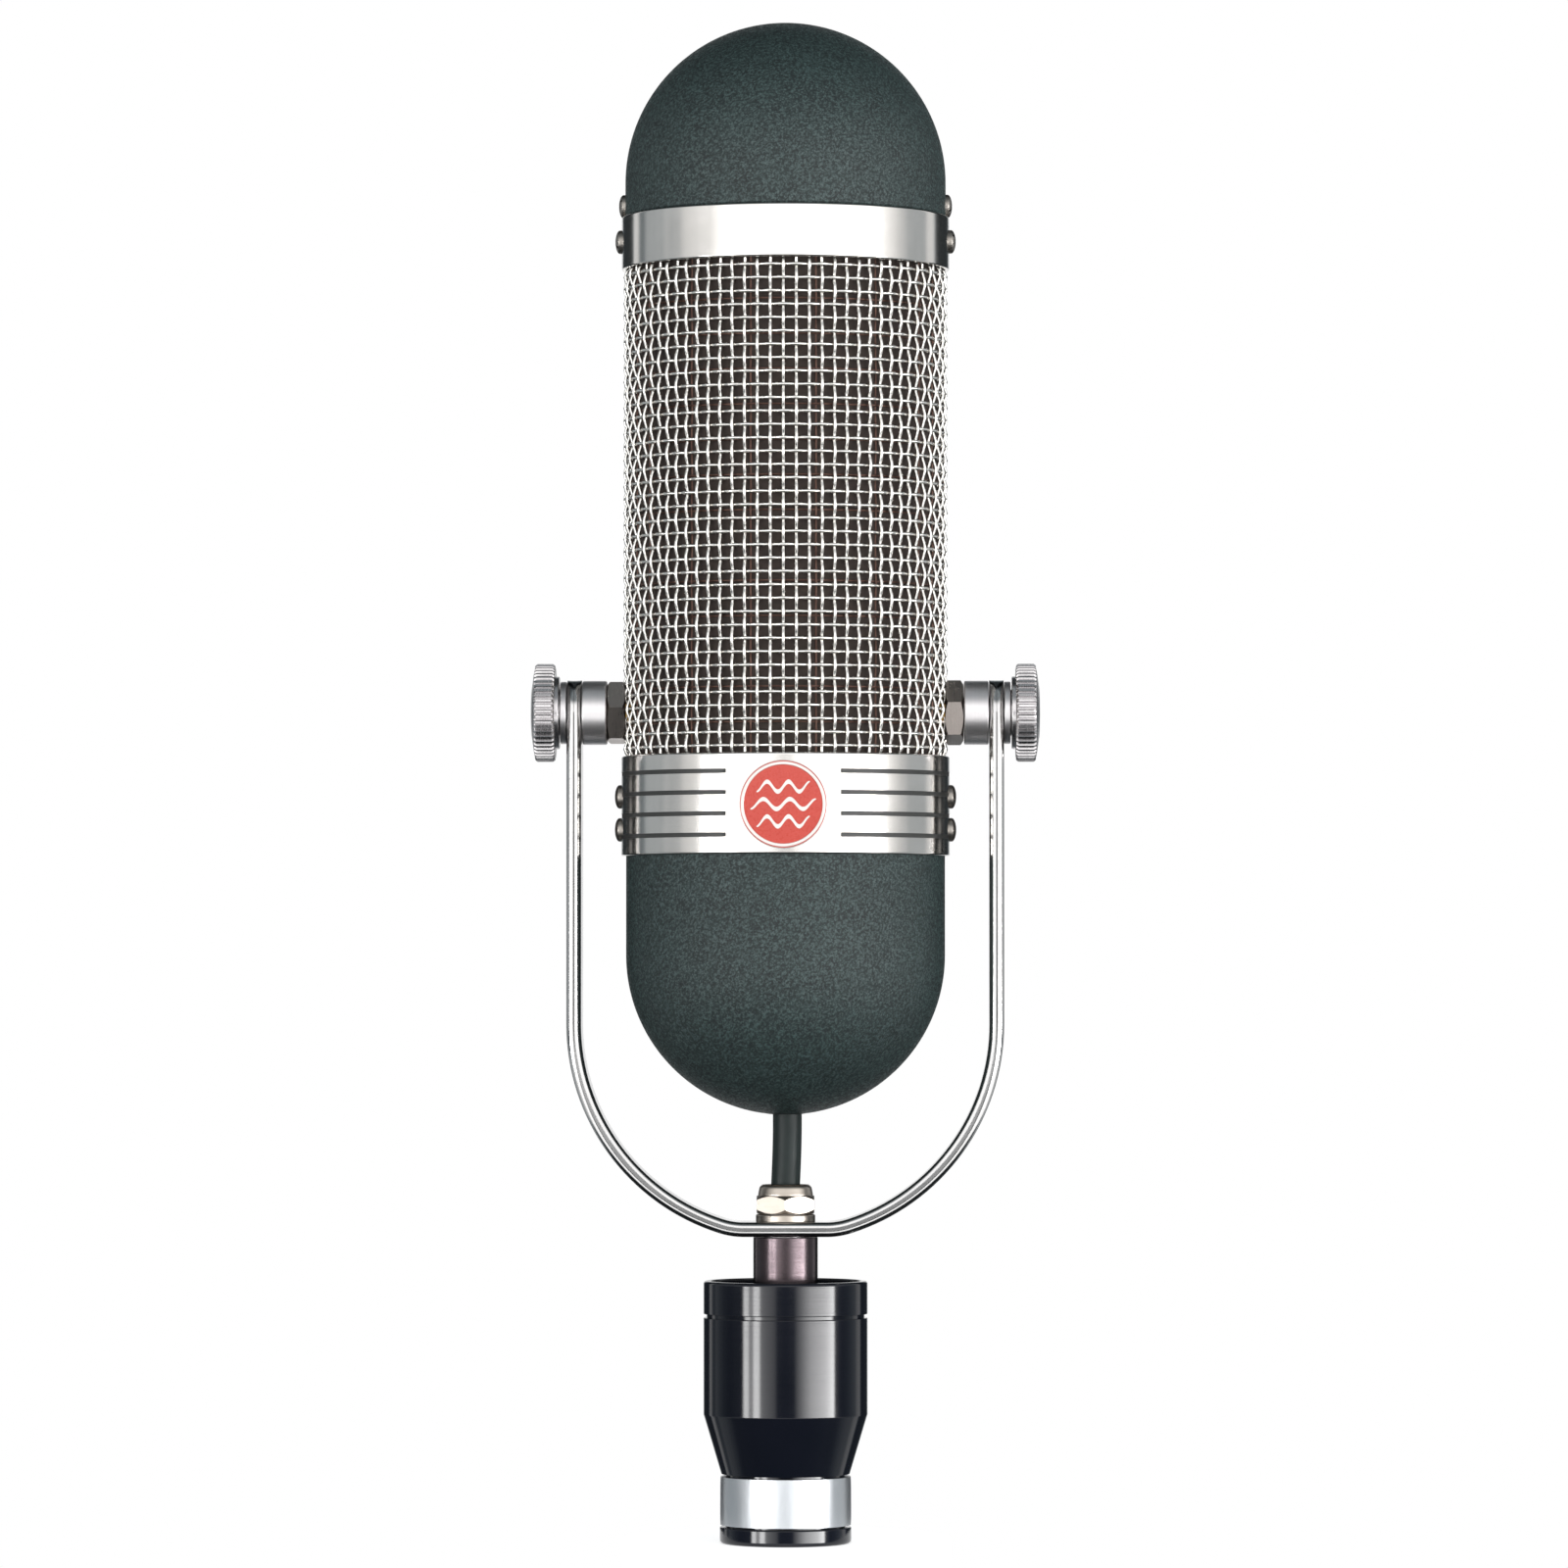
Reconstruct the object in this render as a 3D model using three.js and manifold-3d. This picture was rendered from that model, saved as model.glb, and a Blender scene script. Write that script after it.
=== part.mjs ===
// Ribbon microphone on a U-shaped yoke and a stand coupler.
// Millimetres, +Z up. The origin is the centre of the stand socket's mouth, on the coupler's
// bottom face. The front of the microphone, with its badge, faces -Y.
import * as THREE from 'three';
import { mergeVertices } from 'three/addons/utils/BufferGeometryUtils.js';
import Module from 'manifold-3d';

const wasm = await Module();
wasm.setup();

// ---- driving dimensions -------------------------------------------------------------

const bodySides = 32;          // facets around the head and the coupler
const smallSides = 16;         // facets around knobs, washers and bushes
const screwSides = 10;
const slack = 0.1;             // gap between pieces that lie face to face
const runningGap = 0.2;        // radial gap of a pin or tube in its hole

// coupler, from the stand socket up
const socketRadius = 7.75;
const socketDepth = 20;
const insertRadius = 11.5;
const insertTop = 22.3;
const footRadius = 12.75;
const footRingTop = 3.2;
const labelBottom = 3.6;
const labelTop = 12.9;
const shellBottom = 13.4;
const shellFootRadius = 12.45;
const coneTop = 24.9;
const couplerRadius = 15.9;
const couplerTop = 50.7;
const cupRadius = 14.5;
const chamberRadius = 13.6;
const floorBottom = 37;
const floorTop = 40;
const couplerGroove = { low: 43.6, high: 44.3, radius: 15.3 };
const isolatorTop = 46.5;
const glandHeight = 28;
const glandSleeveRadius = 4;

// post, yoke and the nut that holds the yoke down
const postRadius = 6.25;
const postBore = 4.2;
const postTop = 59.15;
const studRadius = 4;
const studBore = 3.2;
const studBottom = 50;
const yokeBottom = 59.3;
const strapThickness = 2.85;
const strapWidth = 12.6;
const yokeHalfWidth = 42.3;
const yokeBend = { height: 100.35, seatCorner: 16 };
const pivotHeight = 160.7;
const washerTop = 63.6;
const washerRadius = 5.75;
const hexFlats = 11.1;
const nutHexTop = 67.2;
const nutTop = 69.3;
const cableRadius = 2.8;

// head
const housingRadius = 30.9;
const housingBottom = 82.3;
const housingTop = 147;
const housingWall = 1.5;
const grommetHole = 4.6;
const lowerBand = { low: 132.9, high: 152.2 };
const bandRadius = 31.85;
const bandBore = 31;
const bandGrooves = { first: 136.55, pitch: 4.05, count: 4, height: 0.85, depth: 0.35 };
const grooveEndAngle = THREE.MathUtils.degToRad(19.4);
const badge = { height: 142.3, radius: 8.4, rim: 0.7, front: 32.3, back: 31.05 };
const grille = { low: 152.3, high: 246.5, outer: 31.5, inner: 31.15 };
const supportGrid = { low: 148, high: 248.9, outer: 30.6, inner: 30.45 };
const acousticScreen = { low: 151.8, high: 248.5, outer: 29.8, inner: 29.2 };
const topBand = { low: 246.6, high: 256.8 };
const domeRadius = 31.1;
const domeTop = 294.7;
const domeWall = 1.3;
const domeSkirtBottom = 249.5;
const screwHeights = { dome: 259.1, topBand: 252.2, upperLow: 144.4, lowerLow: 138 };
const screwHead = { radius: 2.3, height: 1.25 };
const screwShank = { radius: 1.2, inner: 27.4 };

// the frame inside the head
const topPlate = { low: 250, high: 252.5, rimTop: 261.5, radius: 29.6, rim: 27.2 };
const basePlate = { low: 148.4, high: 151.6, rimBottom: 135.5, radius: 29.9, rim: 27 };
const basePlateRimRadius = 29.2;
const rail = { inner: 24.5, outer: 27, halfWidth: 6 };
const magnetBottom = 166;
const magnetTop = 202;
const poleBottom = 186;
const poleTop = 238;
const airGap = 2.9;
const coreBottom = 104;
const coreTop = 134;

// tilt clamp, measured outward along X from the middle of the head
const bushReach = { inner: 22.2, flange: 24.3, outer: 34.3 };
const bushRadius = 4.2;
const bushBore = 3.2;
const pivotNut = { inner: 31.7, outer: 34.5 };
const spacer = { inner: 34.6, outer: 39.35, radius: 6.2 };
const clampWasher = { inner: 42.4, outer: 43.6, radius: 6.05 };
const shankRadius = 3;
const shankInner = 25;
const knobNeck = { start: 43.65, radius: 4.5 };
const knobFlange = { start: 43.85, end: 44.6, radius: 7.05 };
const knobRim = { end: 48.6, radius: 9.5, chamfer: 0.5 };
const knobCrown = 49.35;

// ---- materials ----------------------------------------------------------------------

function finish(color, roughness, metalness) {
  return () => new THREE.MeshStandardMaterial({ color, roughness, metalness });
}

const charcoalPaint = finish(0x2b3d3d, 0.75, 0.1);
const polishedNickel = finish(0xcfcdc9, 0.16, 1);
const brightWire = finish(0xdedad2, 0.25, 1);
const bronzeWire = finish(0x6a5648, 0.5, 0.8);
const darkCloth = finish(0x1d1714, 0.95, 0);
const turnedSteel = finish(0x9a949a, 0.32, 1);
const darkSteel = finish(0x3a3236, 0.35, 1);
const blackAnodised = finish(0x14161a, 0.28, 0.6);
const silverFoil = finish(0xc3c6ca, 0.3, 0.9);
const blackRubber = finish(0x141414, 0.85, 0);
const whiteNylon = finish(0xd8d4c8, 0.6, 0);
const redEnamel = finish(0xb83a30, 0.25, 0);
const brass = finish(0xb08d4a, 0.35, 1);
const castAluminium = finish(0xa6a8aa, 0.5, 1);
const softIron = finish(0x77787a, 0.45, 1);
const magnetAlloy = finish(0x5c5f63, 0.55, 0.9);
const phenolic = finish(0x4a2f1e, 0.6, 0);
const ribbonFoil = finish(0xd9dadc, 0.35, 1);
const copperWinding = finish(0x9b5a34, 0.5, 0.6);

// ---- solids and small helpers --------------------------------------------------------

// Joins the shared vertices of a closed geometry and drops triangles that collapse.
function weld(geometry) {
  const bare = geometry.clone();
  bare.deleteAttribute('normal');
  bare.deleteAttribute('uv');
  const merged = mergeVertices(bare, 1e-4);
  const corners = merged.index.array;
  const kept = [];
  for (let i = 0; i < corners.length; i += 3) {
    const [a, b, c] = corners.slice(i, i + 3);
    if (a !== b && b !== c && c !== a) kept.push(a, b, c);
  }
  merged.setIndex(kept);
  return merged;
}

// Six times the volume inside a closed geometry, negative when its faces point in.
function signedVolume(geometry) {
  const place = geometry.attributes.position;
  const corners = geometry.index.array;
  const [a, b, c] = [new THREE.Vector3(), new THREE.Vector3(), new THREE.Vector3()];
  let sum = 0;
  for (let i = 0; i < corners.length; i += 3) {
    a.fromBufferAttribute(place, corners[i]);
    b.fromBufferAttribute(place, corners[i + 1]);
    c.fromBufferAttribute(place, corners[i + 2]);
    sum += a.dot(b.cross(c));
  }
  return sum;
}

// A welded geometry whose faces point out, whichever way its profile was drawn.
function closed(geometry) {
  const welded = weld(geometry);
  if (signedVolume(welded) < 0) welded.setIndex([...welded.index.array].reverse());
  return welded;
}

function solid(geometry) {
  const ready = closed(geometry);
  return new wasm.Manifold(new wasm.Mesh({
    numProp: 3,
    vertProperties: new Float32Array(ready.attributes.position.array),
    triVerts: new Uint32Array(ready.index.array),
  }));
}

function geometryOf(body) {
  const mesh = body.getMesh();
  const geometry = new THREE.BufferGeometry();
  geometry.setAttribute('position', new THREE.Float32BufferAttribute(mesh.vertProperties, 3));
  geometry.setIndex([...mesh.triVerts]);
  return geometry;
}

function cut(geometry, tools) {
  let body = solid(geometry);
  for (const tool of tools) body = body.subtract(solid(tool));
  return geometryOf(body);
}

// Turns a profile of [radius, height] points about the Z axis.
function lathe(profile, sides = bodySides) {
  const points = profile.map(([radius, height]) => new THREE.Vector2(radius, height));
  return new THREE.LatheGeometry(points, sides).rotateX(Math.PI / 2);
}

function ring(inner, outer, low, high, sides = bodySides) {
  return lathe([[inner, low], [outer, low], [outer, high], [inner, high], [inner, low]], sides);
}

// Points of a circular arc in a lathe profile, from one angle to another in degrees.
function arc(centreRadius, centreHeight, radius, from, to, steps) {
  return Array.from({ length: steps + 1 }, (_, i) => {
    const angle = THREE.MathUtils.degToRad(from + ((to - from) * i) / steps);
    return [centreRadius + radius * Math.cos(angle), centreHeight + radius * Math.sin(angle)];
  });
}

// Lays a piece that was built along +Z on the X axis, to the right (1) or the left (-1).
function alongX(geometry, side, height) {
  return geometry.rotateY((side * Math.PI) / 2).translate(0, 0, height);
}

function rodAlongX(radius, height, sides = smallSides) {
  const length = 2.4 * bandRadius;
  return new THREE.CylinderGeometry(radius, radius, length, sides)
    .rotateZ(Math.PI / 2).translate(0, 0, height);
}

function block(lowX, highX, halfDepth, low, high) {
  return new THREE.BoxGeometry(highX - lowX, 2 * halfDepth, high - low)
    .translate((lowX + highX) / 2, 0, (low + high) / 2);
}

// Extrudes an outline drawn in X and Z to an even depth either side of the XZ plane.
function plate(shape, depth, curveSegments = 8) {
  return new THREE.ExtrudeGeometry(shape, { depth, bevelEnabled: false, curveSegments })
    .translate(0, 0, -depth / 2).rotateX(Math.PI / 2);
}

function polygon(points) {
  return new THREE.Shape(points.map(([x, y]) => new THREE.Vector2(x, y)));
}

function hexNut(bore, low, high) {
  const corner = hexFlats / 2 / Math.cos(Math.PI / 6);
  const outline = polygon(Array.from({ length: 6 }, (_, i) => {
    const angle = Math.PI / 2 + (i * Math.PI) / 3;
    return [corner * Math.cos(angle), corner * Math.sin(angle)];
  }));
  outline.holes.push(new THREE.Path().absarc(0, 0, bore, 0, 2 * Math.PI));
  return new THREE.ExtrudeGeometry(outline, {
    depth: high - low, bevelEnabled: false, curveSegments: smallSides / 2,
  }).translate(0, 0, low);
}

const microphone = new THREE.Group();

function add(name, geometry, material) {
  const mesh = new THREE.Mesh(closed(geometry), material());
  mesh.name = name;
  microphone.add(mesh);
}

const sides = [['left', -1], ['right', 1]];

// ---- coupler: the stand socket and the cushioned cup ----------------------------------

function couplerShell() {
  const groove = couplerGroove;
  const rimRound = 0.4;
  const body = lathe([
    [insertRadius + slack, shellBottom],
    [shellFootRadius, shellBottom],
    [couplerRadius, coneTop],
    [couplerRadius, groove.low],
    [groove.radius, groove.low],
    [groove.radius, groove.high],
    [couplerRadius, groove.high],
    [couplerRadius, couplerTop - rimRound],
    [couplerRadius - rimRound, couplerTop],
    [cupRadius, couplerTop],
    [cupRadius, floorTop],
    [cableRadius + runningGap, floorTop],
    [cableRadius + runningGap, floorBottom],
    [chamberRadius, floorBottom],
    [chamberRadius, coneTop],
    [insertRadius + slack, insertTop + slack],
    [insertRadius + slack, shellBottom],
  ]);
  const glandHole = new THREE.CylinderGeometry(
    glandSleeveRadius + slack, glandSleeveRadius + slack, couplerRadius, smallSides,
  ).translate(0, couplerRadius, 0).translate(0, 0, glandHeight);
  add('coupler_shell', cut(body, [glandHole]), blackAnodised);
}

function standSocket() {
  add('stand_insert', lathe([
    [socketRadius, 0], [insertRadius, 0], [insertRadius, insertTop], [0, insertTop],
    [0, socketDepth], [socketRadius, socketDepth], [socketRadius, 0],
  ]), brass);
  const edge = 0.6;
  add('bottom_ring', lathe([
    [insertRadius + slack, 0], [footRadius - edge, 0], [footRadius, edge],
    [footRadius, footRingTop], [insertRadius + slack, footRingTop], [insertRadius + slack, 0],
  ]), blackAnodised);
  add('label_band', ring(insertRadius + slack, footRadius, labelBottom, labelTop), silverFoil);
}

function cushion() {
  const hole = postRadius + slack;
  const rim = cupRadius - runningGap;
  const coverThickness = 0.9;
  add('isolator_bush', ring(hole, rim, floorTop + slack, isolatorTop), blackRubber);
  const coverBottom = isolatorTop + slack;
  add('isolator_cover', ring(hole, rim, coverBottom, coverBottom + coverThickness), darkSteel);
}

function rearGland() {
  const bore = cableRadius + slack;
  const flange = { start: 16.1, end: 17.6, radius: 5.6 };
  const tip = { end: 20.4, radius: 4.2 };
  const profile = [
    [bore, chamberRadius], [glandSleeveRadius, chamberRadius],
    [glandSleeveRadius, flange.start], [flange.radius, flange.start],
    [flange.radius, flange.end], [tip.radius, tip.end], [bore, tip.end], [bore, chamberRadius],
  ];
  const gland = lathe(profile, smallSides).rotateX(-Math.PI / 2);
  add('cable_gland', gland.translate(0, 0, glandHeight), blackRubber);
}

// ---- post, stud and the locking nut on top of the yoke ---------------------------------

function post() {
  add('post_tube', ring(postBore, postRadius, floorTop + slack, postTop, smallSides), darkSteel);
  const studTop = nutTop - 0.6;
  add('hollow_stud', ring(studBore, studRadius, studBottom, studTop, smallSides), turnedSteel);
}

function yokeFastening() {
  const bore = studRadius + slack;
  const yokeTop = yokeBottom + strapThickness;
  add('yoke_washer', ring(bore, washerRadius, yokeTop + slack, washerTop, smallSides),
    brightWire);
  const collar = { outer: 5.3, inner: 4.75 };
  const hex = hexNut(bore, washerTop + slack, nutHexTop);
  const crown = ring(collar.inner, collar.outer, nutHexTop - slack, nutTop, smallSides);
  add('yoke_nut', geometryOf(solid(hex).add(solid(crown))), brightWire);
  const insertEnd = nutTop - 0.3;
  const insertOuter = collar.inner - slack;
  add('yoke_nut_insert', ring(bore, insertOuter, nutHexTop + slack, insertEnd, smallSides),
    whiteNylon);
}

// ---- yoke: a strap bent to a U, flat under the nut, with an eye at each end --------------

function yokeStrap() {
  const { height, seatCorner } = yokeBend;
  const inner = yokeHalfWidth - strapThickness;
  const innerCorner = seatCorner - strapThickness;
  const cornerHeight = yokeBottom + seatCorner;
  const drop = height - cornerHeight;
  const seatHalf = Math.sqrt((yokeHalfWidth - seatCorner) ** 2 - drop ** 2);
  const turn = Math.atan2(seatHalf, drop);
  const down = 1.5 * Math.PI;
  const top = pivotHeight + strapWidth;
  const outline = new THREE.Shape()
    .moveTo(-yokeHalfWidth, top)
    .lineTo(-yokeHalfWidth, height)
    .absarc(0, height, yokeHalfWidth, Math.PI, down - turn, false)
    .absarc(-seatHalf, cornerHeight, seatCorner, down - turn, down, false)
    .absarc(seatHalf, cornerHeight, seatCorner, down, down + turn, false)
    .absarc(0, height, yokeHalfWidth, down + turn, 2 * Math.PI, false)
    .lineTo(yokeHalfWidth, top)
    .lineTo(inner, top)
    .absarc(0, height, inner, 2 * Math.PI, down + turn, true)
    .absarc(seatHalf, cornerHeight, innerCorner, down + turn, down, true)
    .absarc(-seatHalf, cornerHeight, innerCorner, down, down - turn, true)
    .absarc(0, height, inner, down - turn, Math.PI, true)
    .lineTo(-inner, top);
  // the strap's face seen from the side, with its round eye ends at the pivot
  const half = strapWidth / 2;
  const face = new THREE.Shape()
    .moveTo(-half, 0)
    .lineTo(half, 0)
    .absarc(0, pivotHeight, half, 0, Math.PI, false);
  const toSide = new THREE.Matrix4().makeBasis(
    new THREE.Vector3(0, 1, 0), new THREE.Vector3(0, 0, 1), new THREE.Vector3(1, 0, 0),
  );
  const span = 2 * yokeHalfWidth + strapWidth;
  const profile = new THREE.ExtrudeGeometry(face, {
    depth: span, bevelEnabled: false, curveSegments: smallSides / 2,
  }).translate(0, 0, -span / 2).applyMatrix4(toSide);
  const bar = solid(plate(outline, strapWidth + 2, 12)).intersect(solid(profile));
  const eye = new THREE.CylinderGeometry(
    shankRadius + runningGap, shankRadius + runningGap, span, smallSides,
  ).rotateZ(Math.PI / 2).translate(0, 0, pivotHeight);
  const studHole = new THREE.CylinderGeometry(
    studRadius + runningGap, studRadius + runningGap, strapWidth, smallSides,
  ).rotateX(Math.PI / 2).translate(0, 0, yokeBottom);
  add('yoke_strap', geometryOf(bar.subtract(solid(eye)).subtract(solid(studHole))),
    polishedNickel);
}

// The short cable from the head to the coupler's chamber, in two lengths that meet inside
// the hollow stud, so that the upper one can turn with the yoke.
function cable() {
  const meeting = 54;
  const upperEnd = 98;
  const bend = 10.5;
  const exit = 17;
  const length = upperEnd - meeting;
  const upper = new THREE.CylinderGeometry(cableRadius, cableRadius, length, 12)
    .rotateX(Math.PI / 2).translate(0, 0, meeting + length / 2);
  add('link_cable', upper, blackRubber);
  const route = new THREE.CurvePath();
  const corner = glandHeight + bend;
  route.add(new THREE.LineCurve3(
    new THREE.Vector3(0, 0, meeting - slack), new THREE.Vector3(0, 0, corner),
  ));
  route.add(new THREE.QuadraticBezierCurve3(
    new THREE.Vector3(0, 0, corner), new THREE.Vector3(0, 0, glandHeight),
    new THREE.Vector3(0, bend, glandHeight),
  ));
  route.add(new THREE.LineCurve3(
    new THREE.Vector3(0, bend, glandHeight), new THREE.Vector3(0, exit, glandHeight),
  ));
  const section = new THREE.Shape().absarc(0, 0, cableRadius - slack, 0, 2 * Math.PI);
  add('cable_tail', new THREE.ExtrudeGeometry(section, {
    extrudePath: route, steps: 12, curveSegments: 5,
  }), blackRubber);
}

// ---- head: housings, bands and grille ----------------------------------------------------

function topDome() {
  const centre = domeTop - domeRadius;
  const inside = domeRadius - domeWall;
  const skirt = bandBore - slack;
  add('top_dome', cut(lathe([
    [inside, domeSkirtBottom],
    [skirt, domeSkirtBottom],
    [skirt, topBand.high + slack],
    [domeRadius, topBand.high + slack],
    ...arc(0, centre, domeRadius, 0, 90, 7),
    ...arc(0, centre, inside, 90, 0, 4),
    [inside, domeSkirtBottom],
  ]), [drill(screwHeights.dome), drill(screwHeights.topBand)]), charcoalPaint);
}

function drill(height) {
  return rodAlongX(screwShank.radius + runningGap, height, screwSides);
}

function upperBand() {
  const band = ring(bandBore, bandRadius - 0.05, topBand.low, topBand.high);
  add('top_band', cut(band, [drill(screwHeights.topBand)]), polishedNickel);
}

// One shallow groove, from near the badge round the side to the same place behind.
function bandGroove(side, low) {
  const from = side * (grooveEndAngle - Math.PI / 2) + (side < 0 ? Math.PI : 0);
  const to = side * (Math.PI / 2 - grooveEndAngle) + (side < 0 ? Math.PI : 0);
  const floor = bandRadius - bandGrooves.depth;
  const outside = bandRadius + 1;
  const outline = new THREE.Shape()
    .absarc(0, 0, outside, from, to, side < 0)
    .absarc(0, 0, floor, to, from, side > 0);
  return new THREE.ExtrudeGeometry(outline, {
    depth: bandGrooves.height, bevelEnabled: false, curveSegments: 10,
  }).translate(0, 0, low);
}

function lowerBandWithBadge() {
  const tools = [drill(screwHeights.upperLow), drill(screwHeights.lowerLow)];
  for (const [, side] of sides) {
    for (let i = 0; i < bandGrooves.count; i += 1) {
      const middle = bandGrooves.first + i * bandGrooves.pitch;
      tools.push(bandGroove(side, middle - bandGrooves.height / 2));
    }
  }
  tools.push(new THREE.CylinderGeometry(
    badge.radius + slack, badge.radius + slack, bandRadius, smallSides,
  ).translate(0, -bandRadius, badge.height));
  add('lower_band', cut(ring(bandBore, bandRadius, lowerBand.low, lowerBand.high), tools),
    polishedNickel);
  const floor = badge.back + 0.6;
  const well = badge.radius - badge.rim;
  const bezel = lathe([
    [0, badge.back], [badge.radius, badge.back], [badge.radius, badge.front],
    [well, badge.front], [well, floor], [0, floor],
  ], smallSides).rotateX(Math.PI / 2);
  add('badge_bezel', bezel.translate(0, 0, badge.height), polishedNickel);
  const enamel = lathe([
    [0, floor + slack], [well - slack, floor + slack],
    [well - slack, badge.front - slack], [0, badge.front],
  ], smallSides).rotateX(Math.PI / 2);
  add('badge_enamel', enamel.translate(0, 0, badge.height), redEnamel);
}

function lowerHousing() {
  const centre = housingBottom + housingRadius;
  const inside = housingRadius - housingWall;
  const shell = lathe([
    [0, housingBottom],
    ...arc(0, centre, housingRadius, -90, 0, 7),
    [housingRadius, housingTop],
    [inside, housingTop],
    ...arc(0, centre, inside, 0, -90, 4),
  ]);
  const cableHole = new THREE.CylinderGeometry(
    grommetHole, grommetHole, housingRadius, smallSides,
  ).rotateX(Math.PI / 2).translate(0, 0, housingBottom);
  const tools = [drill(screwHeights.upperLow), drill(screwHeights.lowerLow), cableHole];
  add('lower_housing', cut(shell, tools), charcoalPaint);
  const lip = { low: 86, high: 87.4, radius: 7 };
  const outer = grommetHole - slack;
  add('cable_grommet', lathe([
    [cableRadius + slack, housingBottom + slack], [outer, housingBottom + 2 * slack],
    [outer, lip.low], [lip.radius, lip.low], [lip.radius, lip.high],
    [cableRadius + slack, lip.high], [cableRadius + slack, housingBottom + slack],
  ], smallSides), blackRubber);
}

// The woven grille, the coarse grid behind it and the cloth that lines it, as plain tubes.
function screens() {
  const layers = [
    ['grille_mesh', grille, brightWire],
    ['support_grid', supportGrid, bronzeWire],
    ['acoustic_screen', acousticScreen, darkCloth],
  ];
  const opening = rodAlongX(bushRadius + runningGap, pivotHeight);
  for (const [name, { inner, outer, low, high }, material] of layers) {
    add(name, cut(ring(inner, outer, low, high), [opening]), material);
  }
}

function sideScrews() {
  const seats = [
    ['dome_screw', screwHeights.dome, domeRadius],
    ['top_band_screw', screwHeights.topBand, bandRadius],
    ['low_band_screw_upper', screwHeights.upperLow, bandRadius],
    ['low_band_screw_lower', screwHeights.lowerLow, bandRadius],
  ];
  for (const [name, height, seat] of seats) {
    for (const [word, side] of sides) {
      const under = seat + slack / 2;
      const shoulder = under + screwHead.height / 3;
      const screw = lathe([
        [0, screwShank.inner], [screwShank.radius, screwShank.inner],
        [screwShank.radius, under], [screwHead.radius, under], [screwHead.radius, shoulder],
        [0.7 * screwHead.radius, under + 0.8 * screwHead.height],
        [0, under + screwHead.height],
      ], screwSides);
      add(`${name}_${word}`, alongX(screw, side, height), brightWire);
    }
  }
}

// ---- head: the frame that carries the motor and the pivots --------------------------------

function framePlates() {
  const { radius, rim, low, high, rimTop } = topPlate;
  const leadHole = 9;
  const top = lathe([
    [leadHole, low], [radius, low], [radius, rimTop], [rim, rimTop], [rim, high],
    [leadHole, high], [leadHole, low],
  ]);
  add('top_plate', cut(top, [drill(screwHeights.dome), drill(screwHeights.topBand)]),
    castAluminium);
  const base = basePlate;
  const bottom = lathe([
    [leadHole, base.low], [base.rim, base.low], [base.rim, base.rimBottom],
    [basePlateRimRadius, base.rimBottom], [basePlateRimRadius, base.low],
    [base.radius, base.low], [base.radius, base.high], [leadHole, base.high],
    [leadHole, base.low],
  ]);
  add('base_plate', cut(bottom, [drill(screwHeights.upperLow), drill(screwHeights.lowerLow)]),
    castAluminium);
  for (const [word, side] of sides) {
    const bar = block(rail.inner, rail.outer, rail.halfWidth, base.high + slack, low - slack);
    const upright = side < 0 ? bar.rotateZ(Math.PI) : bar;
    const hole = rodAlongX(bushRadius + runningGap, pivotHeight);
    add(`frame_rail_${word}`, cut(upright, [hole]), castAluminium);
  }
}

function pivots() {
  const reach = bushReach;
  const bushFlange = 7;
  for (const [word, side] of sides) {
    const bush = lathe([
      [bushBore, reach.inner], [bushFlange, reach.inner], [bushFlange, reach.flange],
      [bushRadius, reach.flange], [bushRadius, reach.outer], [bushBore, reach.outer],
      [bushBore, reach.inner],
    ], smallSides);
    add(`pivot_bush_${word}`, alongX(bush, side, pivotHeight), brass);
    const nut = hexNut(bushRadius + slack, pivotNut.inner, pivotNut.outer);
    add(`pivot_nut_${word}`, alongX(nut, side, pivotHeight), turnedSteel);
    const collar = ring(bushBore + slack, spacer.radius, spacer.inner, spacer.outer, smallSides);
    add(`pivot_spacer_${word}`, alongX(collar, side, pivotHeight), turnedSteel);
  }
}

// A thumb knob in one piece with its threaded shank, and the washer under it.
function tiltKnobs() {
  const { radius, chamfer, end } = knobRim;
  for (const [word, side] of sides) {
    const washer = ring(
      shankRadius + runningGap, clampWasher.radius, clampWasher.inner, clampWasher.outer,
      smallSides,
    );
    add(`clamp_washer_${word}`, alongX(washer, side, pivotHeight), turnedSteel);
    const knob = lathe([
      [0, shankInner], [shankRadius, shankInner], [shankRadius, knobNeck.start],
      [knobNeck.radius, knobNeck.start], [knobNeck.radius, knobFlange.start],
      [knobFlange.radius, knobFlange.start], [knobFlange.radius, knobFlange.end],
      [radius - chamfer, knobFlange.end], [radius, knobFlange.end + chamfer],
      [radius, end - chamfer], [radius - chamfer, end], [radius / 2, knobCrown - slack],
      [0, knobCrown],
    ], smallSides + 4);
    add(`clamp_knob_${word}`, alongX(knob, side, pivotHeight), turnedSteel);
  }
}

// ---- head: the ribbon motor and the transformer ---------------------------------------------

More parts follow.
